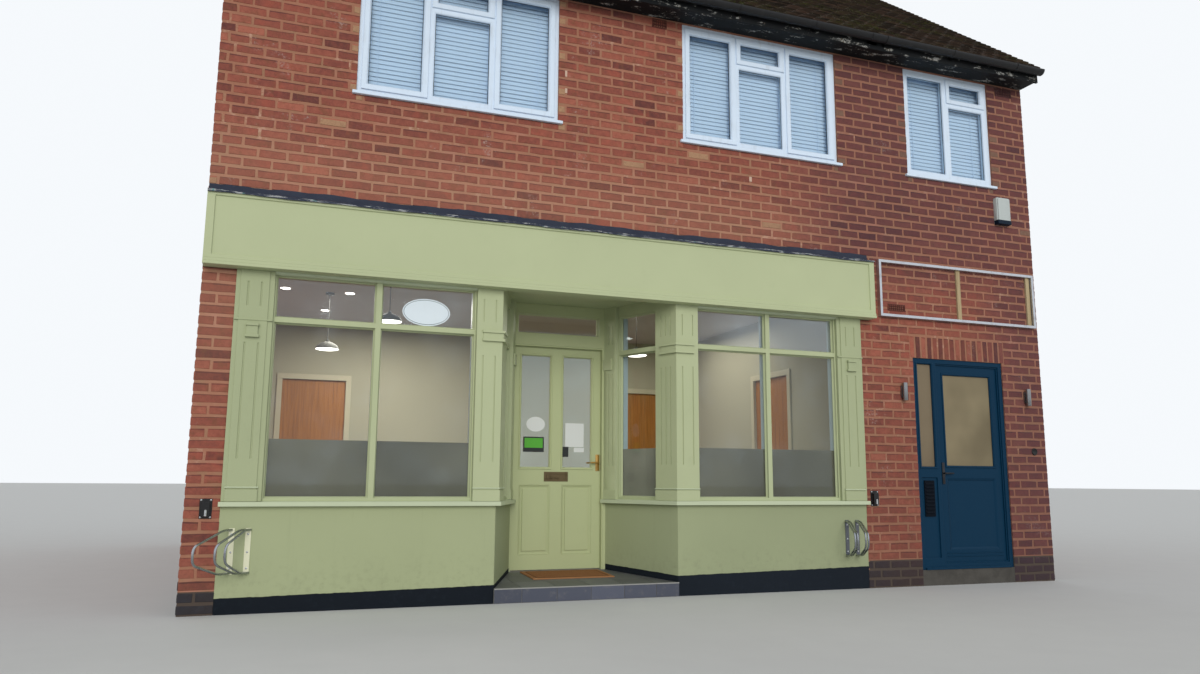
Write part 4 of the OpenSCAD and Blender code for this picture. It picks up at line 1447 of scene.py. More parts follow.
@dataclass
class Roof:
    """Plain tiles in courses, ridge, eaves and gutters."""

    ridge_z: float = 9.468
    eaves_y: float = 4.55
    eaves_z: float = 5.65
    gauge: float = 0.100
    width: float = 0.1667
    thick: float = 0.012
    length: float = 0.200
    camber: float = 0.003
    lift: float = 0.003
    skew: float = 0.0022
    stray: float = 0.003
    tone_mean: float = 0.45
    tone_spread: float = 0.25
    tail: float = 0.016
    head: float = -0.006
    least: float = 0.03
    gaps: Span = (0.001, 0.0015)
    wall_drop: float = 0.072
    seed: int = 11
    gutter_r: float = 0.056
    strap: Span = (0.0005, 0.0045)
    brackets: int = 10
    bracket_start: float = 0.3
    bracket_pitch: float = 0.87
    bracket_half: float = 0.013
    unions: Spans = ((-2.0, 0.06), (2.0, 0.06))

    def top(self, a: float) -> float:
        """Height of the covering at a distance from the ridge."""
        return self.eaves_z + (self.eaves_y - a) * (self.ridge_z - self.eaves_z) / self.eaves_y

    def gable_top(self, x: float) -> float:
        """Height of a gable's bricks at a place along it."""
        return self.top(abs(x)) - self.wall_drop

    def tile(self, solid: Solid, span: Span, foot: float, head: float, rng: random.Random) -> None:
        """Lays one cambered tile, a little out of true.

        Args:
            solid: where it goes; x across and y up the slope.
            span: its two edges.
            foot: its lower end.
            head: its upper end.
            rng: the random draws.
        """
        tone = min(1.0, max(0.0, rng.gauss(self.tone_mean, self.tone_spread)))
        lift = rng.uniform(0.0, self.lift)
        skew = rng.uniform(-self.skew, self.skew)
        foot += rng.uniform(-self.stray, self.stray)
        rings = []
        for u, arch in ((0.0, 0.0), (0.33, self.camber), (0.67, self.camber), (1.0, 0.0)):
            x = span[0] + (span[1] - span[0]) * u
            low = self.tail + arch + lift + skew * (u - 0.5) * 2
            high = arch * 0.5 + self.head
            outline = ((foot, low - self.thick), (foot, low), (head, high), (head, high - self.thick))
            rings.append([(x, y, z) for y, z in outline])
        solid.loops(rings, tone)

    def slope(self, name: str, side: Side) -> None:
        """Lays one slope of tiles.

        Args:
            name: the piece's name.
            side: the street or the yard side.
        """
        rng = random.Random(self.seed + len(side.name))
        pitch = math.atan2(self.ridge_z - self.eaves_z, self.eaves_y)
        run = self.eaves_y / math.cos(pitch)
        eaves = Matrix.Translation((0, -self.eaves_y, self.eaves_z))
        solid = Solid(side.turn @ eaves @ Matrix.Rotation(pitch, 4, "X"))
        for row in range(int((run - self.least) / self.gauge) + 1):
            foot = row * self.gauge
            x = -HALF_W - (self.width / 2 if row % 2 else 0.0)
            while x < HALF_W - 0.01:
                a = max(x + self.gaps[0], -HALF_W)
                b = min(x + self.width - self.gaps[1], HALF_W)
                x += self.width
                if b - a > self.least:
                    self.tile(solid, (a, b), foot, min(foot + self.length, run), rng)
        solid.piece(name, TileFace("plain_tiles"), "roof_tiles")

    def gutter_fittings(self) -> None:
        """Adds the brackets and joints of both gutters."""
        lo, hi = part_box("gutters")
        y, z = lo.y + self.gutter_r, hi.z
        inner, outer = (self.gutter_r + d for d in self.strap)
        arc = [math.pi * (1 + k / 12) for k in range(13)]
        section = [(y + outer * math.cos(a), z + outer * math.sin(a)) for a in arc]
        section += [(y + inner * math.cos(a), z + inner * math.sin(a)) for a in reversed(arc)]
        starts = (self.bracket_start - HALF_W + self.bracket_pitch * k for k in range(self.brackets))
        fittings = [*((x, self.bracket_half) for x in starts), *self.unions]
        back = y + self.gutter_r
        for name, side in (("front_gutter_brackets", Side.STREET), ("rear_gutter_brackets", Side.YARD)):
            solid = Solid(side.turn)
            for x, half in fittings:
                solid.bar(section, (x - half, x + half))
                solid.box((x - half, x + half), (back, back + 0.004), (z - 0.07, z + 0.004))
            solid.piece(name, BLACK, "black_plastic")

    def build(self) -> None:
        """Makes the whole roof."""
        self.slope("front_tiles", Side.STREET)
        self.slope("rear_tiles", Side.YARD)
        paint(BATTENS, "roof_front", "roof_rear")
        paint(Wood("sawn_rafters", (0.36, 0.25, 0.14), (0.22, 0.14, 0.07), 0.8), "rafters")
        soften(TileFace("ridge_tiles_clay"), "ridge_tiles", smooth=True)
        soften(PeelingPaint("eaves_paint"), "eaves_boards", bevel=0.002)
        soften(BLACK, "gutters", bevel=0.0015, smooth=True)
        soften(BLACK, "downpipe", bevel=0.001, smooth=True)
        self.gutter_fittings()


# Upper windows


@dataclass(frozen=True)
class Window:
    """One white window: its left edge, its width and how many lights it has."""

    left: float
    width: float
    count: int


@dataclass(frozen=True)
class WindowRow:
    """The windows of one storey, and the bottom and top of their openings."""

    windows: tuple[Window, ...]
    z: Span


@dataclass
class UpperWindows:
    """White windows with opening sashes, and their blinds."""

    face: float = -4.230
    bar: float = 0.062
    fanlight: float = 0.290
    overlap: float = 0.024
    sash: float = 0.034
    fixed_bead: float = 0.013
    gasket: float = 0.0055
    upper: WindowRow = WindowRow(
        (Window(-3.16, 1.813, 3), Window(-0.074, 1.783, 3), Window(2.593, 1.161, 2)),
        (4.290, 5.510),
    )
    lower: WindowRow = WindowRow((Window(-0.974, 1.813, 3), Window(2.593, 1.161, 2)), (1.070, 2.265))
    sill_drop: float = 0.028
    rear_panel_x: Span = (-2.62, -1.98)
    rear_panels: tuple[Span, Span] = ((0.25, 0.85), (1.05, 2.05))
    slat_pitch: float = 0.0415
    slat_width: float = 0.050
    slat_crown: float = 0.0034
    slat_thick: float = 0.0006
    slat_tilt: float = 73.0
    slat_sway: float = 2.5
    slat_short: float = 0.003
    blind_gap: float = 0.014
    rail_half: float = 0.024
    seed: int = 3
    tapes: tuple[tuple[float, ...], ...] = ((0.14, 0.5, 0.86), (0.09, 0.36, 0.64, 0.91))

    def holes(self, row: WindowRow, past: float = 0.0) -> list[Rect]:
        """The openings of a row of windows, from under their sills to so far past their tops."""
        low, high = row.z[0] - self.sill_drop, row.z[1] + past
        return [(w.left, w.left + w.width, low, high) for w in row.windows]

    def lights(self, window: Window, z: Span) -> list[tuple[Rect, bool]]:
        """The panes of one window, with True for those in an opening sash.

        Args:
            window: the window.
            z: bottom and top of its opening.

        Returns:
            Each pane and whether it opens.
        """
        found = []
        for i in range(window.count):
            x0 = window.left + self.bar + i * (window.width - self.bar) / window.count
            x1 = window.left + (i + 1) * (window.width - self.bar) / window.count
            if i == 1:
                found.append(((x0, x1, z[0] + self.bar, z[1] - self.fanlight - self.bar), False))
                found.append(((x0, x1, z[1] - self.fanlight, z[1] - self.bar), True))
            else:
                found.append(((x0, x1, z[0] + self.bar, z[1] - self.bar), window.count == 3))
        return found

    def sashes(self, white: Solid, gasket: Solid, row: WindowRow) -> None:
        """Adds the sashes, beads and gaskets of a row of windows.

        Args:
            white: where the sashes and beads go.
            gasket: where the gaskets go.
            row: the windows.
        """
        o, w, f = self.overlap, self.overlap + self.sash, self.fixed_bead
        opening = (
            (0, 0.0), (0, 0.011), (0.003, 0.014), (w - 0.016, 0.014),
            (w - 0.004, 0.003), (w, -0.012), (w, -0.020), (0, -0.001),
        )
        fixed = ((-0.001, 0.0), (-0.001, 0.001), (0.010, -0.004), (f, -0.016), (f, -0.022), (-0.001, -0.022))
        for window in row.windows:
            for (x0, x1, z0, z1), opens in self.lights(window, row.z):
                outer = (x0 - o, x1 + o, z0 - o, z1 + o) if opens else (x0, x1, z0, z1)
                white.ring(outer, opening if opens else fixed, self.face)
                a = (w if opens else f) - 0.001
                b = a + self.gasket
                gasket.ring(outer, ((a, -0.0195), (b, -0.0195), (b, -0.0215), (a, -0.0215)), self.face)

    def slat(self, solid: Solid, x: Span, y: float, z: float, rng: random.Random) -> None:
        """Hangs one crowned slat.

        Args:
            solid: where it goes.
            x: its two ends.
            y: the blind's middle.
            z: the slat's middle.
            rng: the random draws.
        """
        tilt = math.radians(self.slat_tilt + rng.uniform(-self.slat_sway, self.slat_sway))
        outer, inner = [], []
        for k in range(7):
            u = k / 6 - 0.5
            along, crown = u * self.slat_width, self.slat_crown * (1 - 4 * u * u)
            for edge, off in ((outer, crown + self.slat_thick), (inner, crown)):
                edge.append((
                    y + along * math.cos(tilt) - off * math.sin(tilt),
                    z + along * math.sin(tilt) + off * math.cos(tilt),
                ))
        ends = (x[0] + rng.uniform(0, self.slat_short), x[1] - rng.uniform(0, self.slat_short))
        solid.bar(outer + inner[::-1], ends, rng.random())

    def blinds(self) -> None:
        """Hangs a slatted blind in each front window."""
        solid = Solid()
        lo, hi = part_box("window_blinds")
        rng = random.Random(self.seed)
        y, half = (lo.y + hi.y) / 2, self.rail_half
        for window in self.upper.windows:
            x0, x1 = window.left + self.blind_gap, window.left + window.width - self.blind_gap
            solid.box((x0, x1), (y - half, y + half), (hi.z - 0.045, hi.z - 0.002))
            z = hi.z - 0.075
            while z > lo.z + 0.03:
                self.slat(solid, (x0, x1), y, z, rng)
                z -= self.slat_pitch
            solid.box((x0, x1), (y - half + 0.002, y + half - 0.002), (z - 0.002, z + 0.012))
            for share in self.tapes[window.count - 2]:
                x = x0 + (x1 - x0) * share
                for tape in (y - half + 0.0005, y + half - 0.0015):
                    solid.box((x - 0.0025, x + 0.0025), (tape, tape + 0.001), (z, hi.z - 0.03), 0.2)
        slats = Plastic("blind_slats", (0.585, 0.725, 0.95), 0.4, 0.08, shine=0.15)
        solid.piece("slatted_blinds", slats, "blind_slats", replaces=("window_blinds",))

    def rear_door(self) -> None:
        """Dresses the yard door with its two panels."""
        soften(WHITE, "rear_door")
        panels = Solid(Side.YARD.turn)
        section = ((0.0, -0.001), (0.0, 0.006), (0.012, 0.010), (0.024, 0.006), (0.028, -0.001))
        for z in self.rear_panels:
            panels.ring((*self.rear_panel_x, *z), section, -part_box("rear_door")[1].y)
        panels.piece("rear_door_mouldings", WHITE, "white_plastic")

    def build(self) -> None:
        """Makes all white windows, sills and blinds, and the yard door."""
        soften(WHITE, "window_frames")
        soften(WHITE, "window_sills", bevel=0.004)
        paint(UPPER_GLASS, "window_glass")
        for name, side, rows in (
            ("front", Side.STREET, (self.upper,)),
            ("rear", Side.YARD, (self.upper, self.lower)),
        ):
            white, gasket = Solid(side.turn), Solid(side.turn)
            for row in rows:
                self.sashes(white, gasket, row)
            white.piece(name + "_sashes", WHITE, "white_plastic", bevel=0.001)
            gasket.piece(name + "_gaskets", GASKET, "black_plastic")
        self.rear_door()
        self.blinds()


# Shopfront and doors


@dataclass(frozen=True)
class Glazing:
    """Where one window of the shopfront stands, and its panes across."""

    place: Matrix
    panes: Spans


@dataclass
class Shopfront:
    """Painted joinery, glass and the recess with its step."""

    left_x: float = -4.0
    right_x: float = 1.892
    bays: tuple[float, float] = (2.148, 2.050)
    outer_pilaster: float = 0.290
    corner_pilaster: float = 0.208
    splay_pilaster: float = 0.250
    door_pilaster: float = 0.166
    stile: float = 0.014
    mullion: float = 0.046
    frame_set: float = 0.015
    foot_z: float = 0.942
    foot_x: Span = (0.026, 0.258)
    cap: Spans = ((0.028, 0.0), (0.041, 0.0), (0.041, 0.005), (0.034, 0.010), (0.028, 0.010))
    cap_past: float = 0.004
    recess_x: float = -1.005
    recess_half: float = 0.847
    back_half: float = 0.483
    depth: float = 0.900
    rows: tuple[Span, Span] = ((0.864, 2.252), (2.294, 2.635))
    film_z: float = 1.325
    glass_out: float = 0.042
    glass_back: float = 0.052
    fascia_x: Span = (-HALF_W, 2.012)
    fascia_z: Span = (2.655, 3.245)
    lead_steps: int = 150
    lead_out: float = 0.136
    lead_seed: int = 21
    lap: float = 0.003
    lap_every: float = 1.5
    lap_width: float = 0.12
    fanlight: Rect = (-1.441, -0.597, 2.452, 2.642)
    fanlight_y: float = -3.350
    bead: Spans = (
        (0.0, -0.026), (0.004, -0.026), (0.012, -0.038), (0.012, -0.0415), (0.0, -0.0415),
    )
    oval_at: Span = (-2.484, 2.423)
    oval_radii: Span = (0.203, 0.117)
    step_z: Span = (0.118, 0.160)
    step_out: float = 0.012
    tile_gap: float = 0.0025
    tile_seed: int = 8
    tile_x: tuple[float, ...] = (-0.847, -0.608, -0.298, 0.010, 0.318, 0.624, 0.847)
    tile_y: tuple[float, ...] = (0.012, 0.310, 0.615, 0.900)
    pendants: tuple[Place, ...] = (
        (-3.15, -2.0, 2.37), (-2.63, -2.9, 2.55), (0.25, -2.3, 2.45),
    )
    downlights: Spans = ((-3.60, -2.08), (-2.95, -2.06), (-3.13, -0.95))
    ceiling_z: float = 2.970

    @property
    def inward(self) -> float:
        """How much narrower the recess is at the door, on each side."""
        return self.recess_half - self.back_half

    def starts(self) -> list[tuple[Matrix, float]]:
        """Where each bay starts, with its x towards the recess, and its width."""
        left, right = (Matrix.Translation((x, STREET_WALL, 0)) for x in (self.left_x, self.right_x))
        return [(left, self.bays[0]), (right @ Matrix.Scale(-1, 4, (1, 0, 0)), self.bays[1])]

    def joinery(self) -> None:
        """Dresses the painted timber."""
        soften(SAGE, "corner_pilasters", "door_pilasters", "shop_windows", "splay_windows", "recess_ceiling")
        soften(SAGE_PIER, "outer_pilasters")
        # Painted light: the sills in a lighter copy of the sage paint
        soften(SAGE_LIT, "shop_sills", bevel=0.004)
        soften(SAGE_TOP, "shop_fascia", bevel=0.004)
        soften(RiserPaint("riser_paint"), "stall_risers", bevel=0.004)
        mould = Solid()
        low, behind = self.fascia_z[0], self.frame_set
        section = (
            (0.0, low), (-0.020, low), (-0.018, low - 0.009), (-0.008, low - 0.016),
            (0.004, low - 0.020), (behind, low - 0.020), (behind, low),
        )
        for place, width in self.starts():
            mould.place = place
            mould.bar(section, (self.outer_pilaster, width - self.corner_pilaster))
        # Painted highlight: the bed moulds in a lighter copy of the sage paint
        mould.piece("fascia_bed_moulds", SAGE_LIT, "green_paint", bevel=0.001)

    def foot_caps(self) -> None:
        """Runs a small moulding over the feet of the street pilasters."""
        lean = math.atan2(self.depth, self.inward)
        mitre, (across, back) = math.tan(lean / 2), (math.cos(lean), math.sin(lean))
        profile = [(out, self.foot_z + h) for out, h in self.cap]
        past, far = self.cap_past, self.splay_pilaster + self.cap_past
        caps = Solid()
        for place, width in self.starts():
            caps.place = place
            near = width - self.corner_pilaster - past
            caps.loops([
                [(near, -out, z) for out, z in profile],
                [(width + out * mitre, -out, z) for out, z in profile],
                [(width + far * across + out * back, far * back - out * across, z) for out, z in profile],
            ])
            ends = (self.foot_x[0] - past, self.foot_x[1] + past)
            caps.loops([[(x, -out, z) for out, z in profile] for x in ends])
        # Painted highlight: the foot caps in a lighter copy of the sage paint
        caps.piece("pilaster_foot_caps", SAGE_LIT, "green_paint", bevel=0.001)

    def flashing(self) -> None:
        """Dresses lead over the top of the fascia, a little uneven."""
        rng = random.Random(self.lead_seed)
        x0, x1 = self.fascia_x
        top, y = self.fascia_z[1], STREET_WALL
        rings = []
        for k in range(self.lead_steps + 1):
            x = x0 + (x1 - x0) * k / self.lead_steps
            wave = 0.005 * math.sin(5.1 * x) + 0.004 * math.sin(17.0 * x + 1.0) + rng.uniform(-0.0022, 0.0022)
            lip = 0.012 + 0.003 * math.sin(8.3 * x + 0.4) + rng.uniform(0.0, 0.003)
            lap = self.lap if (x - x0) % self.lap_every < self.lap_width else 0.0
            out, high = self.lead_out + lap, top + 0.094 + wave
            outline = (
                (y, top), (y - out + 0.006, top), (y - out + 0.006, top - lip), (y - out, top - lip),
                (y - out, top + 0.005 + lap), (y - 0.012 - 0.5 * wave - lap, top + 0.045 + wave),
                (y - 0.006 - lap, high), (y, high),
            )
            rings.append([(x, *p) for p in outline])
        lead = Solid()
        lead.loops(rings)
        lead.piece("lead_flashing", Lead("lead"), "lead", replaces=("fascia_flashing",))

    def windows(self) -> list[Glazing]:
        """Where each bay's windows stand, the straight one and then the splayed one.

        Returns:
            The four windows.
        """
        turn = Matrix.Rotation(math.atan2(self.depth, self.inward), 4, "Z")
        long, half = math.hypot(self.depth, self.inward), self.mullion / 2
        found = []
        for bay, width in self.starts():
            w = width - self.outer_pilaster - self.corner_pilaster
            panes = ((self.stile, w / 2 - half), (w / 2 + half, w - self.stile))
            found.append(Glazing(bay @ Matrix.Translation((self.outer_pilaster, self.frame_set, 0)), panes))
            splay = bay @ Matrix.Translation((width, 0, 0)) @ turn
            w = long - self.door_pilaster - self.splay_pilaster
            place = splay @ Matrix.Translation((self.splay_pilaster, self.frame_set, 0))
            found.append(Glazing(place, ((self.stile, w - self.stile),)))
        return found

    def glazing(self) -> None:
        """Adds the etched film, the glazing beads and the pale linings behind the glass."""
        paint(GLASS, "shop_glass")
        film, side_film, beads, linings = Solid(), Solid(), Solid(), Solid()
        low = self.rows[0][0]
        behind = (self.glass_back + 0.0005, self.glass_back + 0.0015)
        deep = (self.glass_back + 0.004, self.glass_back + 0.060)
        for window in self.windows():
            etched = film if len(window.panes) > 1 else side_film
            etched.place = beads.place = linings.place = window.place
            for x0, x1 in window.panes:
                etched.box((x0 + 0.001, x1 - 0.001), behind, (low + 0.001, self.film_z))
                for row in self.rows:
                    beads.ring((x0, x1, *row), self.bead, 0.0)
                    linings.box((x0, x0 + 0.007), deep, row)
                    linings.box((x1 - 0.007, x1), deep, row)
        beads.place = Matrix()
        beads.ring(self.fanlight, self.bead, self.fanlight_y)
        etching = FrostedGlass("etched_glass_film", (0.150, 0.139, 0.106))
        side_etching = FrostedGlass("side_etched_glass", (0.34, 0.32, 0.28))
        film.piece("etched_film", etching, "shop_glazing")
        side_film.piece("side_etched_film", side_etching, "shop_glazing")
        beads.piece("glazing_beads", SAGE, "green_paint")
        linings.piece("pane_linings", Paint("lining_paint", (0.45, 0.54, 0.60), 0.35), "green_paint")

    def oval_sign(self) -> None:
        """Sticks a bare oval on the left bay's right transom pane."""
        pale, line = Solid(), Solid()
        y = STREET_WALL + self.frame_set + self.glass_out
        wide, high = self.oval_radii
        for solid, trim, back in ((pale, 0.0, 0.0005), (line, 0.010, 0.0013), (pale, 0.014, 0.0021)):
            solid.oval(self.oval_at, (wide - trim, high - trim), (y - back, y - back - 0.0008))
        pale.piece("oval_sign", Plastic("sign_white", (0.72, 0.80, 0.86), 0.3, 0.05), "white_plastic")
        line.piece("oval_sign_line", Plastic("sign_line", (0.07, 0.11, 0.13), 0.3, 0.05), "white_plastic")

    def step(self) -> None:
        """Tiles the entrance step."""
        paint(Concrete("grout", (0.22, 0.22, 0.21)), "entrance_step")
        rng = random.Random(self.tile_seed)
        (front_z, back_z), out, gap = self.step_z, self.step_out, self.tile_gap
        front = Matrix.Translation((self.recess_x, STREET_WALL - out, 0))
        slope = Matrix.Rotation(math.atan2(back_z - front_z, self.depth + out), 4, "X")
        lay = front @ Matrix.Translation((0, 0, front_z)) @ slope
        top, face, trim = Solid(lay), Solid(front), Solid(lay)
        for near, far in zip(self.tile_y, self.tile_y[1:]):
            for a, b in zip(self.tile_x, self.tile_x[1:]):
                low = []
                for x, y, _ in rectangle((a + gap, b - gap), (near + gap, far - gap), 0.0):
                    reach = self.recess_half - self.inward * max(0.0, y - out) / self.depth - 0.004
                    low.append((math.copysign(min(abs(x), reach), x), y))
                if low[1][0] - low[0][0] > 0.02:
                    top.loops([[(x, y, h) for x, y in low] for h in (-0.004, 0.004)], rng.random())
        top.piece("step_tiles_top", StepTile("step_tile"), "step_tiles", bevel=0.001)
        for a, b in zip(self.tile_x, self.tile_x[1:]):
            face.box((a + gap, b - gap), (-0.007, 0.004), (0.004, front_z - 0.004), rng.random())
        riser_tile = StepTile("step_riser_tile", (0.078, 0.086, 0.118))
        face.piece("step_tiles_front", riser_tile, "step_tiles", bevel=0.001)
        trim.box((-0.846, 0.846), (-0.009, 0.010), (-0.004, 0.005))
        strip = Plastic("step_edge", (0.30, 0.30, 0.29), 0.4)
        trim.piece("step_edge_strip", strip, "step_tiles", bevel=0.001)
        soften(Coir("coir"), "door_mat", bevel=0.004)

    def rooms(self) -> None:
        """Dresses what shows through the glass."""
        paint(Plaster("cream_wall"), "inner_walls")
        paint(Plaster("ceiling_paint", (0.50, 0.44, 0.42)), "first_floor", "loft_floor")
        veneer = Wood("inner_door_veneer", (0.41, 0.155, 0.024), (0.25, 0.088, 0.013))
        soften(veneer, "inner_doors", bevel=0.002)
        soften(Paint("inner_gloss", (0.50, 0.46, 0.34)), "inner_door_frames")
        down = (0, 0, -1)
        lamps, hoods = Solid(), Solid()
        for x, y in self.downlights:
            lamps.turned((x, y, self.ceiling_z), down, ((0.0, 0.05), (0.004, 0.05), (0.005, 0.036)), 20)
        dome = ((0.0, 0.016), (0.020, 0.020), (0.034, 0.060), (0.060, 0.100), (0.092, 0.121), (0.100, 0.121))
        for x, y, z in self.pendants:
            lamps.turned((x, y, z), down, ((0.0, 0.118), (0.004, 0.118), (0.010, 0.095), (0.014, 0.04)), 28)
            hoods.turned((x, y, z + 0.098), down, dome, 28)
            rod = ((0.0, 0.045), (0.018, 0.045), (0.022, 0.004), (self.ceiling_z - z - 0.095, 0.004))
            hoods.turned((x, y, self.ceiling_z), down, rod, 12)
        lamps.piece("lit_lamps", Lamp("lamp_face"), "cream_gloss", smooth=True)
        grey = Plastic("lamp_grey", (0.16, 0.155, 0.145), grime=0.0, shine=0.05)
        hoods.piece("lamp_pendants", grey, "cream_gloss", smooth=True)

    def build(self) -> None:
        """Makes the whole shopfront."""
        self.joinery()
        self.foot_caps()
        self.flashing()
        self.glazing()
        self.oval_sign()
        self.step()
        self.rooms()


@dataclass
class ShopDoor:
    """The panelled shop door with its furniture."""

    body: str = "shop_door_leaf"
    lights: Spans = ((0.092, 0.407), (0.523, 0.838))
    panel_z: Span = (0.138, 0.800)
    light_z: Span = (0.960, 2.071)
    glass_in: float = 0.018
    sunk: Spans = (
        (0.0, -0.012), (0.0, 0.0), (0.004, 0.001), (0.012, -0.006), (0.020, -0.009), (0.022, -0.0125),
    )
    bead: Spans = (
        (-0.012, 0.0), (-0.012, 0.004), (-0.006, 0.008), (0.002, 0.007),
        (0.011, -0.006), (0.013, -0.017), (0.0, -0.017), (0.0, 0.0),
    )

    def build(self) -> None:
        """Makes the door and its frame."""
        soften(SAGE_DOOR, "shop_door_frame")
        soften(SAGE_DOOR, "shop_door", bevel=0.0025)
        paint(DOOR_GLASS, "shop_door_glass")
        lo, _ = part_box("shop_door")
        mould = Solid(Matrix.Translation((lo.x, 0, lo.z)))
        for span in self.lights:
            mould.ring((*span, *self.panel_z), self.sunk, lo.y)
            mould.ring((*span, *self.light_z), self.bead, lo.y)
        mould.piece("shop_door_mouldings", SAGE_DOOR, "green_paint", self.body)
        self.cards(Matrix.Translation((lo.x, lo.y, 0)))
        self.furniture()

    def cards(self, place: Matrix) -> None:
        """Sticks bare cards on the door's glass.

        Args:
            place: the leaf's lower left edge, on the ground.
        """
        white, dark, green = Solid(place), Solid(place), Solid(place)
        y = (self.glass_in - 0.0025, self.glass_in - 0.0006)
        white.oval((0.255, 1.560), (0.095, 0.072), y)
        white.box((0.561, 0.755), y, (1.345, 1.579))
        white.box((0.653, 0.759), y, (1.294, 1.337))
        dark.box((0.133, 0.343), y, (1.289, 1.437))
        green.box((0.146, 0.330), (y[0] - 0.0008, y[0]), (1.330, 1.424))
        dark.box((0.530, 0.592), (self.glass_in - 0.016, y[1]), (1.246, 1.345))
        for solid, name, label, colour, gloss, slot in (
            (white, "white_cards", "card_white", (0.66, 0.68, 0.66), 0.35, "white_plastic"),
            (dark, "dark_cards", "card_black", (0.018, 0.020, 0.020), 0.3, "black_plastic"),
            (green, "green_card", "card_green", (0.085, 0.37, 0.035), 0.3, "green_paint"),
        ):
            solid.piece(name, Plastic(label, colour, gloss, 0.1), slot, self.body)

    def furniture(self) -> None:
        """Adds the lever, the hinges and the letter plate."""
        soften(BRASS, "shop_door_handle", bevel=0.002, smooth=True)
        soften(BRASS, "shop_door_hinges", bevel=0.0006, smooth=True)
        soften(BRONZE, "letter_plate", bevel=0.0015)
        lo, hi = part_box("letter_plate")
        flap = Solid()
        flap.box((lo.x + 0.026, hi.x - 0.026), (lo.y - 0.001, lo.y + 0.004), (lo.z + 0.025, hi.z - 0.026))
        pull = ((lo.x + hi.x) / 2 - 0.02, lo.y - 0.002, lo.z + 0.034)
        flap.turned(pull, (1, 0, 0), ((0.0, 0.004), (0.04, 0.004)), 12)
        flap.piece("letter_flap", BRONZE, "bronze_plate", self.body, bevel=0.001)


@dataclass
class FlatDoor:
    """The blue plastic door of the flat, with its sidelight."""

    body: str = "flat_door_leaf"
    frame_y: float = -4.238
    stile: float = 0.090
    panel_z: Span = (0.126, 0.850)
    sidelight: Rect = (0.048, 0.250, 1.017, 2.098)
    gap: float = 0.007
    pane_front: float = 0.0206
    vent_x: Span = (0.083, 0.208)
    vent_z: Span = (0.678, 1.040)
    louvres: int = 9
    leaf_bead: Spans = (
        (-0.010, 0.0), (-0.010, 0.005), (-0.004, 0.009), (0.004, 0.008),
        (0.012, -0.002), (0.012, -0.012), (0.0, -0.012), (0.0, 0.0),
    )
    panel: Spans = ((0.0, -0.012), (0.0, 0.0), (0.010, -0.002), (0.022, -0.010), (0.026, -0.0125))
    side_bead: Spans = (
        (-0.010, 0.0), (-0.010, 0.004), (-0.003, 0.008), (0.005, 0.006),
        (0.012, -0.004), (0.012, -0.020), (0.0, -0.020), (0.0, 0.0),
    )
    stop: Spans = ((0.0, -0.002), (0.0, 0.007), (0.012, 0.007), (0.014, 0.004), (0.014, -0.002))

    def leaf(self) -> None:
        """Adds the leaf's beads, its panel and its two drip bars."""
        lo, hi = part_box("flat_door")
        pane_lo, pane_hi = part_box("flat_door_glass")
        trim = Solid()
        trim.ring((pane_lo.x, pane_hi.x, pane_lo.z, pane_hi.z), self.leaf_bead, lo.y)
        heights = (lo.z + h for h in self.panel_z)
        trim.ring((lo.x + self.stile, hi.x - self.stile, *heights), self.panel, lo.y)
        for z in (lo.z + 0.055, lo.z + 0.087):
            drip = [(lo.y, z), (lo.y - 0.005, z + 0.003), (lo.y - 0.005, z + 0.012), (lo.y, z + 0.015)]
            trim.bar(drip, (lo.x + 0.05, hi.x - 0.05))
        trim.piece("flat_door_trims", NAVY, "blue_plastic", self.body)

    def vent(self, x: float) -> None:
        """Adds the louvred vent plate beside the door.

        Args:
            x: the frame's left edge.
        """
        x0, x1 = (x + v for v in self.vent_x)
        face = self.frame_y + 0.014
        back, front = face - 0.012, face - 0.020
        plate = Solid()
        plate.box((x0, x1), (back, face + 0.001), self.vent_z)
        for k in range(self.louvres):
            z = 0.705 + 0.036 * k
            louvre = [(back, z), (front, z + 0.004), (front, z + 0.010), (back, z + 0.024)]
            plate.bar(louvre, (x0 + 0.012, x1 - 0.012))
        soot = Plastic("vent_black", (0.004, 0.006, 0.010), 0.6, 0.15, (0.020, 0.022, 0.026), 0.08)
        plate.piece("side_vent_plate", soot, "blue_plastic", bevel=0.001)

    def side(self) -> None:
        """Adds the sidelight's beads and obscured pane, and the stop round the leaf."""
        frame_lo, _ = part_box("flat_door_frame")
        self.vent(frame_lo.x)
        corner = Matrix.Translation((frame_lo.x, 0, frame_lo.z))
        beads, veil = Solid(corner), Solid(corner)
        beads.ring(self.sidelight, self.side_bead, self.frame_y)
        lo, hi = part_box("flat_door")
        gap = self.gap
        beads.place = Matrix()
        beads.ring((lo.x - gap, hi.x + gap, lo.z - gap, hi.z + gap), self.stop, lo.y - 0.007)
        beads.piece("sidelight_beads", NAVY, "blue_plastic")
        x0, x1, z0, z1 = self.sidelight
        y = self.frame_y + self.pane_front
        veil.box((x0 + 0.001, x1 - 0.001), (y, y + 0.0012), (z0 + 0.001, z1 - 0.001))
        film = FrostedGlass("sidelight_film", (0.162, 0.128, 0.084), 0.92, 60.0, 0.0003)
        veil.piece("sidelight_obscuring", film, "flat_glazing")

    def build(self) -> None:
        """Makes the door, its frame and its sidelight."""
        soften(NAVY, "flat_door_frame", "flat_door")
        paint(Concrete("threshold_concrete", (0.085, 0.080, 0.072)), "flat_door_step")
        soften(DARK_STEEL, "flat_door_handle", bevel=0.002, smooth=True)
        soften(STEEL, "flat_door_hinges", bevel=0.0006, smooth=True)
        paint(FrostedGlass("obscured_glass", (0.215, 0.178, 0.110), 0.9, 60.0, 0.0003), "flat_door_glass")
        self.leaf()
        self.side()


# Fittings


@dataclass(frozen=True)
class Rack:
    """A bicycle rack: its strips, its foot and its loops as (place, reach)."""

    strips: tuple[float, float]
    foot: float
    lean: float
    painted: bool
    loops: Spans


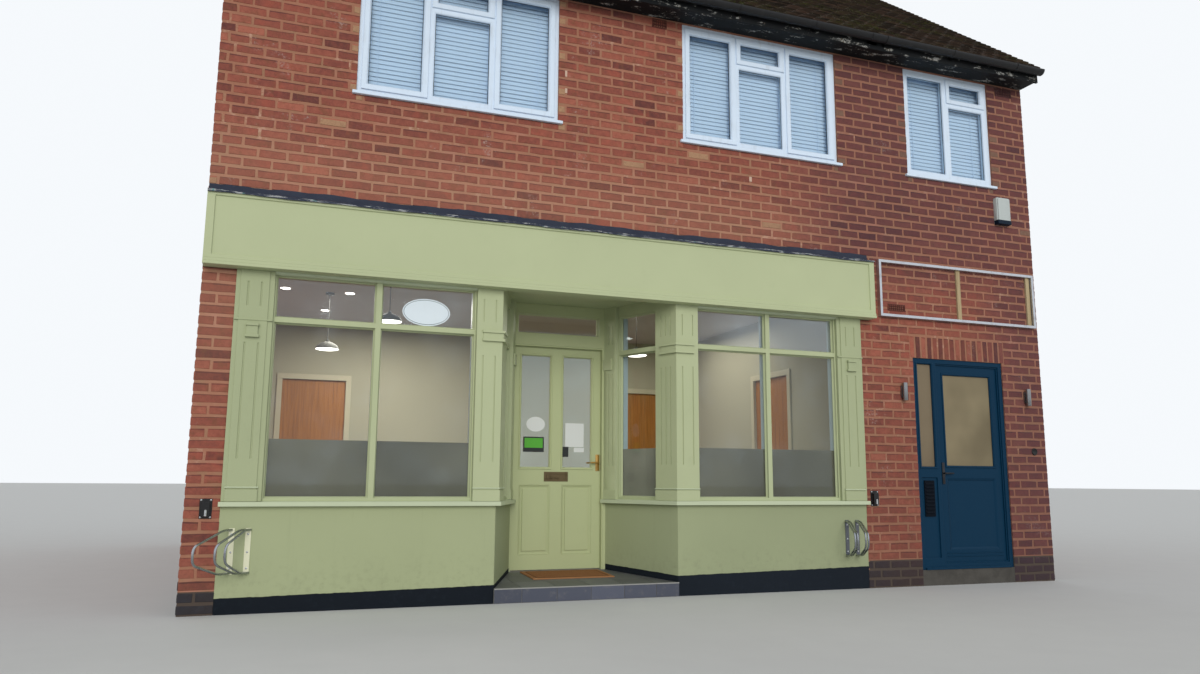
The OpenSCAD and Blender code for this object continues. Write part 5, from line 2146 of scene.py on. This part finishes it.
@dataclass
class Fittings:
    """What is fixed to the front: lights, locks, racks, alarm box and sign frame."""

    rack_h: float = 0.345
    strip_half: float = 0.021
    screw_z: tuple[float, ...] = (0.045, 0.165, 0.300)
    bar: float = 0.009
    racks: tuple[Rack, ...] = (
        Rack((-3.905, -3.787), 0.293, 35.0, True, ((-3.905, 0.430), (-3.805, 0.353), (-3.769, 0.300))),
        Rack(
            (1.653, 1.771), 0.308, 22.0, False,
            ((1.638, 0.353), (1.668, 0.353), (1.756, 0.353), (1.786, 0.353)),
        ),
    )
    locks: Spans = ((-4.10, 0.785), (1.987, 0.860))
    air_bricks: tuple[Rect, ...] = (
        (-0.400, -0.245, 5.410, 5.500),
        (3.870, 4.100, 5.390, 5.480),
        (2.250, 2.465, 2.775, 2.845),
    )
    vent_spacing: float = 0.027
    round_vent_at: Span = (4.085, 1.355)
    batten_x: float = 3.144
    batten_w: float = 0.050

    def bend_racks(self) -> None:
        """Bends the round loops of the bicycle racks and lays their strips."""
        loops, painted, plain, screws = Solid(), Solid(), Solid(), Solid()
        wall, bar = STREET_WALL, self.bar
        for rack in self.racks:
            aside, ahead = math.sin(math.radians(rack.lean)), math.cos(math.radians(rack.lean))
            strips = painted if rack.painted else plain
            for x in rack.strips:
                across = (x - self.strip_half, x + self.strip_half)
                strips.box(across, (wall - 0.005, wall), (rack.foot, rack.foot + self.rack_h))
                for z in self.screw_z:
                    spot = (x, wall - 0.004, rack.foot + z)
                    screws.turned(spot, (0, -1, 0), ((0.0, 0.008), (0.002, 0.008), (0.004, 0.005)), 12)
            for x, r in rack.loops:
                outline = (
                    (0.0, 0.012), (0.3 * r - 0.002, 0.012), (r - bar, 0.104),
                    (r - bar, 0.230), (0.22 * r - 0.002, 0.333), (0.0, 0.333),
                )
                start = wall - 0.006
                path = [(x - d * aside, start - d * ahead, rack.foot + h) for d, h in outline]
                loops.tube(path, bar, 0.05)
        loops.piece("rack_loops", RACK_TUBE, "rack_steel", replaces=("bike_racks",), smooth=True)
        cream = Paint("rack_strip_paint", (0.72, 0.72, 0.52), 0.4, grime=0.5)
        painted.piece("rack_strips", cream, "rack_steel", bevel=0.0015)
        plate = Metal("rack_plate", (0.17, 0.18, 0.20), 0.4)
        plain.piece("plain_rack_strips", plate, "rack_steel", bevel=0.0015)
        screws.piece("rack_screws", CHROME, "rack_steel", smooth=True)

    def shutter_locks(self) -> None:
        """Adds the faces of the shutter locks."""
        soften(LOCK_BLACK, "shutter_bolts")
        bright = Solid()
        barrel = ((0.0, 0.007), (0.002, 0.010), (0.046, 0.010), (0.050, 0.006))
        for x, z in self.locks:
            for dx in (-0.034, 0.034):
                for dz in (-0.064, 0.064):
                    spot = (x + dx, STREET_WALL - 0.007, z + dz)
                    bright.turned(spot, (0, -1, 0), ((0.0, 0.007), (0.003, 0.007), (0.005, 0.004)), 12)
            bright.turned((x + 0.002, STREET_WALL - 0.040, z - 0.056), (0, 0, 1), barrel)
        bright.piece("lock_faces", CHROME, "lock_steel", smooth=True)

    def vents(self) -> None:
        """Adds the terracotta vents in the wall and a round plastic one."""
        solid = Solid()
        rim = ((0.0, 0.0), (0.0, 0.006), (0.006, 0.008), (0.006, -0.008), (0.0, -0.008))
        depth = (STREET_WALL - 0.010, STREET_WALL)
        for x0, x1, z0, z1 in self.air_bricks:
            solid.ring((x0, x1, z0, z1), rim, STREET_WALL - 0.004)
            count = round((x1 - x0) / self.vent_spacing)
            for k in range(count):
                a = x0 + 0.006 + (x1 - x0 - 0.012) * (k + 0.32) / count
                solid.box((a, a + 0.010), depth, (z0 + 0.004, z1 - 0.004), 0.3)
            for k in (1, 2):
                h = z0 + (z1 - z0) * k / 3
                solid.box((x0 + 0.004, x1 - 0.004), depth, (h - 0.004, h + 0.004), 0.3)
        clay = BrickFace("vent_terracotta", ((0.0, (0.10, 0.035, 0.028)), (1.0, (0.17, 0.06, 0.045))))
        solid.piece("air_bricks", clay, "brickwork")
        round_vent = Solid()
        profile = ((0.0, 0.038), (0.012, 0.038), (0.016, 0.033), (0.010, 0.026), (0.006, 0.001))
        x, z = self.round_vent_at
        round_vent.turned((x, STREET_WALL + 0.002, z), (0, -1, 0), profile)
        round_vent.piece("round_vent", BLACK, "black_plastic", smooth=True)

    def sign(self) -> None:
        """Dresses the empty sign frame."""
        soften(ALUMINIUM, "sign_frame", bevel=0.002)
        lo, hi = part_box("sign_frame")
        batten = Solid()
        for x in (self.batten_x, hi.x - 0.085):
            depth, height = (STREET_WALL - 0.024, STREET_WALL), (lo.z + 0.028, hi.z - 0.028)
            batten.box((x, x + self.batten_w), depth, height)
        pine = Wood("batten_wood", (0.50, 0.40, 0.24), (0.33, 0.24, 0.13), 0.7)
        batten.piece("sign_battens", pine, "rough_timber", bevel=0.001)

    def alarm(self) -> None:
        """Dresses the alarm box with its dark lower band."""
        soften(Plastic("alarm_cream", (0.46, 0.50, 0.49), 0.4), "alarm_box", bevel=0.006, smooth=True)
        lo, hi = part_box("alarm_box")
        band = Solid()
        past = 0.0015
        band.box((lo.x - past, hi.x + past), (lo.y - past, hi.y - 0.003), (lo.z - past, lo.z + 0.046))
        blue = Plastic("alarm_band_blue", (0.004, 0.012, 0.026), 0.35, 0.1, (0.03, 0.05, 0.07), 0.15)
        band.piece("alarm_band", blue, "alarm_plastic", bevel=0.005)

    def build(self) -> None:
        """Makes all fittings."""
        self.bend_racks()
        self.shutter_locks()
        self.vents()
        self.sign()
        self.alarm()
        soften(STEEL, "wall_lights", bevel=0.002, smooth=True)


# Walls


@dataclass
class Walls:
    """The masonry under the bricks, and the bricks on it, with room for what stands in them."""

    windows: UpperWindows
    shopfront: Shopfront
    roof: Roof
    masonry: tuple[str, ...] = (
        "front_piers", "flat_door_lintel", "front_wall_upper",
        "rear_wall_lower", "rear_wall_upper", "party_walls",
    )
    shop_hole: Rect = (-4.0, 1.892, 0.0, 2.8)
    flat_hole: Rect = (2.538, 3.714, 0.0, 2.299)
    rear_door_hole: Rect = (-2.75, -1.85, 0.0, 2.265)
    head_gap: float = 0.1

    def build(self) -> None:
        """Dresses all walls."""
        paint(MORTAR, *self.masonry)
        paint(Concrete("floor_concrete"), "ground_slab")
        windows, shopfront = self.windows, self.shopfront
        uppers = windows.holes(windows.upper, self.head_gap)
        fascia = (*shopfront.fascia_x, *shopfront.fascia_z)
        bricks = Brickwork()
        bricks.front([*uppers, fascia, self.shop_hole, self.flat_hole])
        bricks.rear([*uppers, *windows.holes(windows.lower), self.rear_door_hole])
        bricks.gable(Side.LEFT, self.roof)
        bricks.gable(Side.RIGHT, self.roof)


# Studio


@dataclass(frozen=True)
class PaleFloor(Finish):
    """Plain pale studio floor."""

    colour: Colour = (0.62, 0.62, 0.61)

    def build(self, g: Graph) -> Node:
        """Even paint with the faintest mottle."""
        return g.shade(g.varied(g.noise(3.0, 2.0), self.colour, 0.97, 1.03), 0.9)


@dataclass(frozen=True)
class RoomLamp:
    """A soft lamp under a ceiling."""

    name: str
    spot: Place
    power: float
    size: float


@dataclass
class Studio:
    """Floor, lamps, background and the photograph's camera."""

    place: Place = (-3.73, -11.80, 1.00)
    yaw: float = 20.396
    pitch: float = 9.164
    roll: float = 0.359
    lens: float = 27.04
    sensor: float = 36.0
    floor_size: float = 250.0
    clip: float = 700.0
    sky: float = 0.55
    sky_colour: Colour = (0.93, 0.97, 1.0)
    paper_colour: Colour = (0.92, 0.95, 0.98)
    key: float = 1.7
    key_angle: float = 35.0
    key_colour: Colour = (1.0, 0.98, 0.95)
    key_from: Place = (-0.25, -1.0, 0.35)
    room_colour: Colour = (1.0, 0.95, 0.86)
    rooms: tuple[RoomLamp, ...] = (
        RoomLamp("shop_light_left", (-2.4, -1.6, 2.90), 70.0, 1.6),
        RoomLamp("shop_light_right", (0.9, -1.6, 2.90), 30.0, 1.6),
        RoomLamp("hall_light", (3.2, -2.8, 2.90), 40.0, 0.8),
    )

    def put(self, name: str, data: bpy.types.ID) -> bpy.types.Object:
        """Puts one object of the studio in the scene.

        Args:
            name: its name.
            data: its camera, light or mesh.

        Returns:
            The object.
        """
        obj = bpy.data.objects.new(name, data)
        bpy.context.scene.collection.objects.link(obj)
        return obj

    def camera(self) -> None:
        """Stands the camera at the photograph's place."""
        data = bpy.data.cameras.new("street_camera")
        data.lens = self.lens
        data.sensor_width = self.sensor
        data.clip_end = self.clip
        camera = self.put("street_camera", data)
        stand = Matrix.Translation(self.place)
        for angle, axis in ((-self.yaw, "Z"), (90.0 + self.pitch, "X"), (self.roll, "Z")):
            stand = stand @ Matrix.Rotation(math.radians(angle), 4, axis)
        camera.matrix_world = stand
        bpy.context.scene.camera = camera

    def floor(self) -> None:
        """Lays a plain pale floor."""
        mesh = bpy.data.meshes.new("studio_floor")
        size = (-self.floor_size, self.floor_size)
        mesh.from_pydata(rectangle(size, size, 0.0), [], [(0, 1, 2, 3)])
        mesh.materials.append(PaleFloor("studio_floor").material())
        self.put("studio_floor", mesh)

    def background(self) -> None:
        """Sets an even sky, and a pale one where it is seen."""
        world = bpy.data.worlds.new("studio_sky")
        bpy.context.scene.world = world
        g = Graph(world, "ShaderNodeOutputWorld")
        path = g.add("ShaderNodeLightPath", {}, {})
        seen = Socket(g, path.outputs["Is Camera Ray"])
        for name in ("Is Glossy Ray", "Is Transmission Ray"):
            seen = seen.math("MAXIMUM", Socket(g, path.outputs[name]))
        sky = g.add("ShaderNodeBackground", {}, {"Color": self.sky_colour, "Strength": self.sky})
        paper = g.add("ShaderNodeBackground", {}, {"Color": self.paper_colour, "Strength": 1.0})
        g.done(g.blend(seen, sky, paper))

    def lamps(self) -> None:
        """Hangs a soft key outside and a lamp in each room."""
        key = bpy.data.lights.new("soft_key", "SUN")
        key.energy = self.key
        key.angle = math.radians(self.key_angle)
        key.color = self.key_colour
        lamp = self.put("soft_key", key)
        lamp.matrix_world = Vector(self.key_from).to_track_quat("Z", "Y").to_matrix().to_4x4()
        lamp.visible_glossy = False
        for room in self.rooms:
            data = bpy.data.lights.new(room.name, "AREA")
            data.energy = room.power
            data.size = room.size
            data.color = self.room_colour
            self.put(room.name, data).location = room.spot

    def build(self) -> None:
        """Sets the stage."""
        self.camera()
        self.floor()
        self.background()
        self.lamps()
        bpy.context.scene.view_settings.view_transform = "Standard"


def main() -> None:
    """Builds every part of the scene in order."""
    logging.basicConfig(level=logging.INFO, format="%(name)s: %(message)s")
    windows, shopfront, roof = UpperWindows(), Shopfront(), Roof()
    walls = Walls(windows, shopfront, roof)
    for part in (Studio(), walls, roof, windows, shopfront, ShopDoor(), FlatDoor(), Fittings()):
        part.build()
        log.info("%s: built", type(part).__name__)
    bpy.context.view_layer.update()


if __name__ == "__main__":
    main()
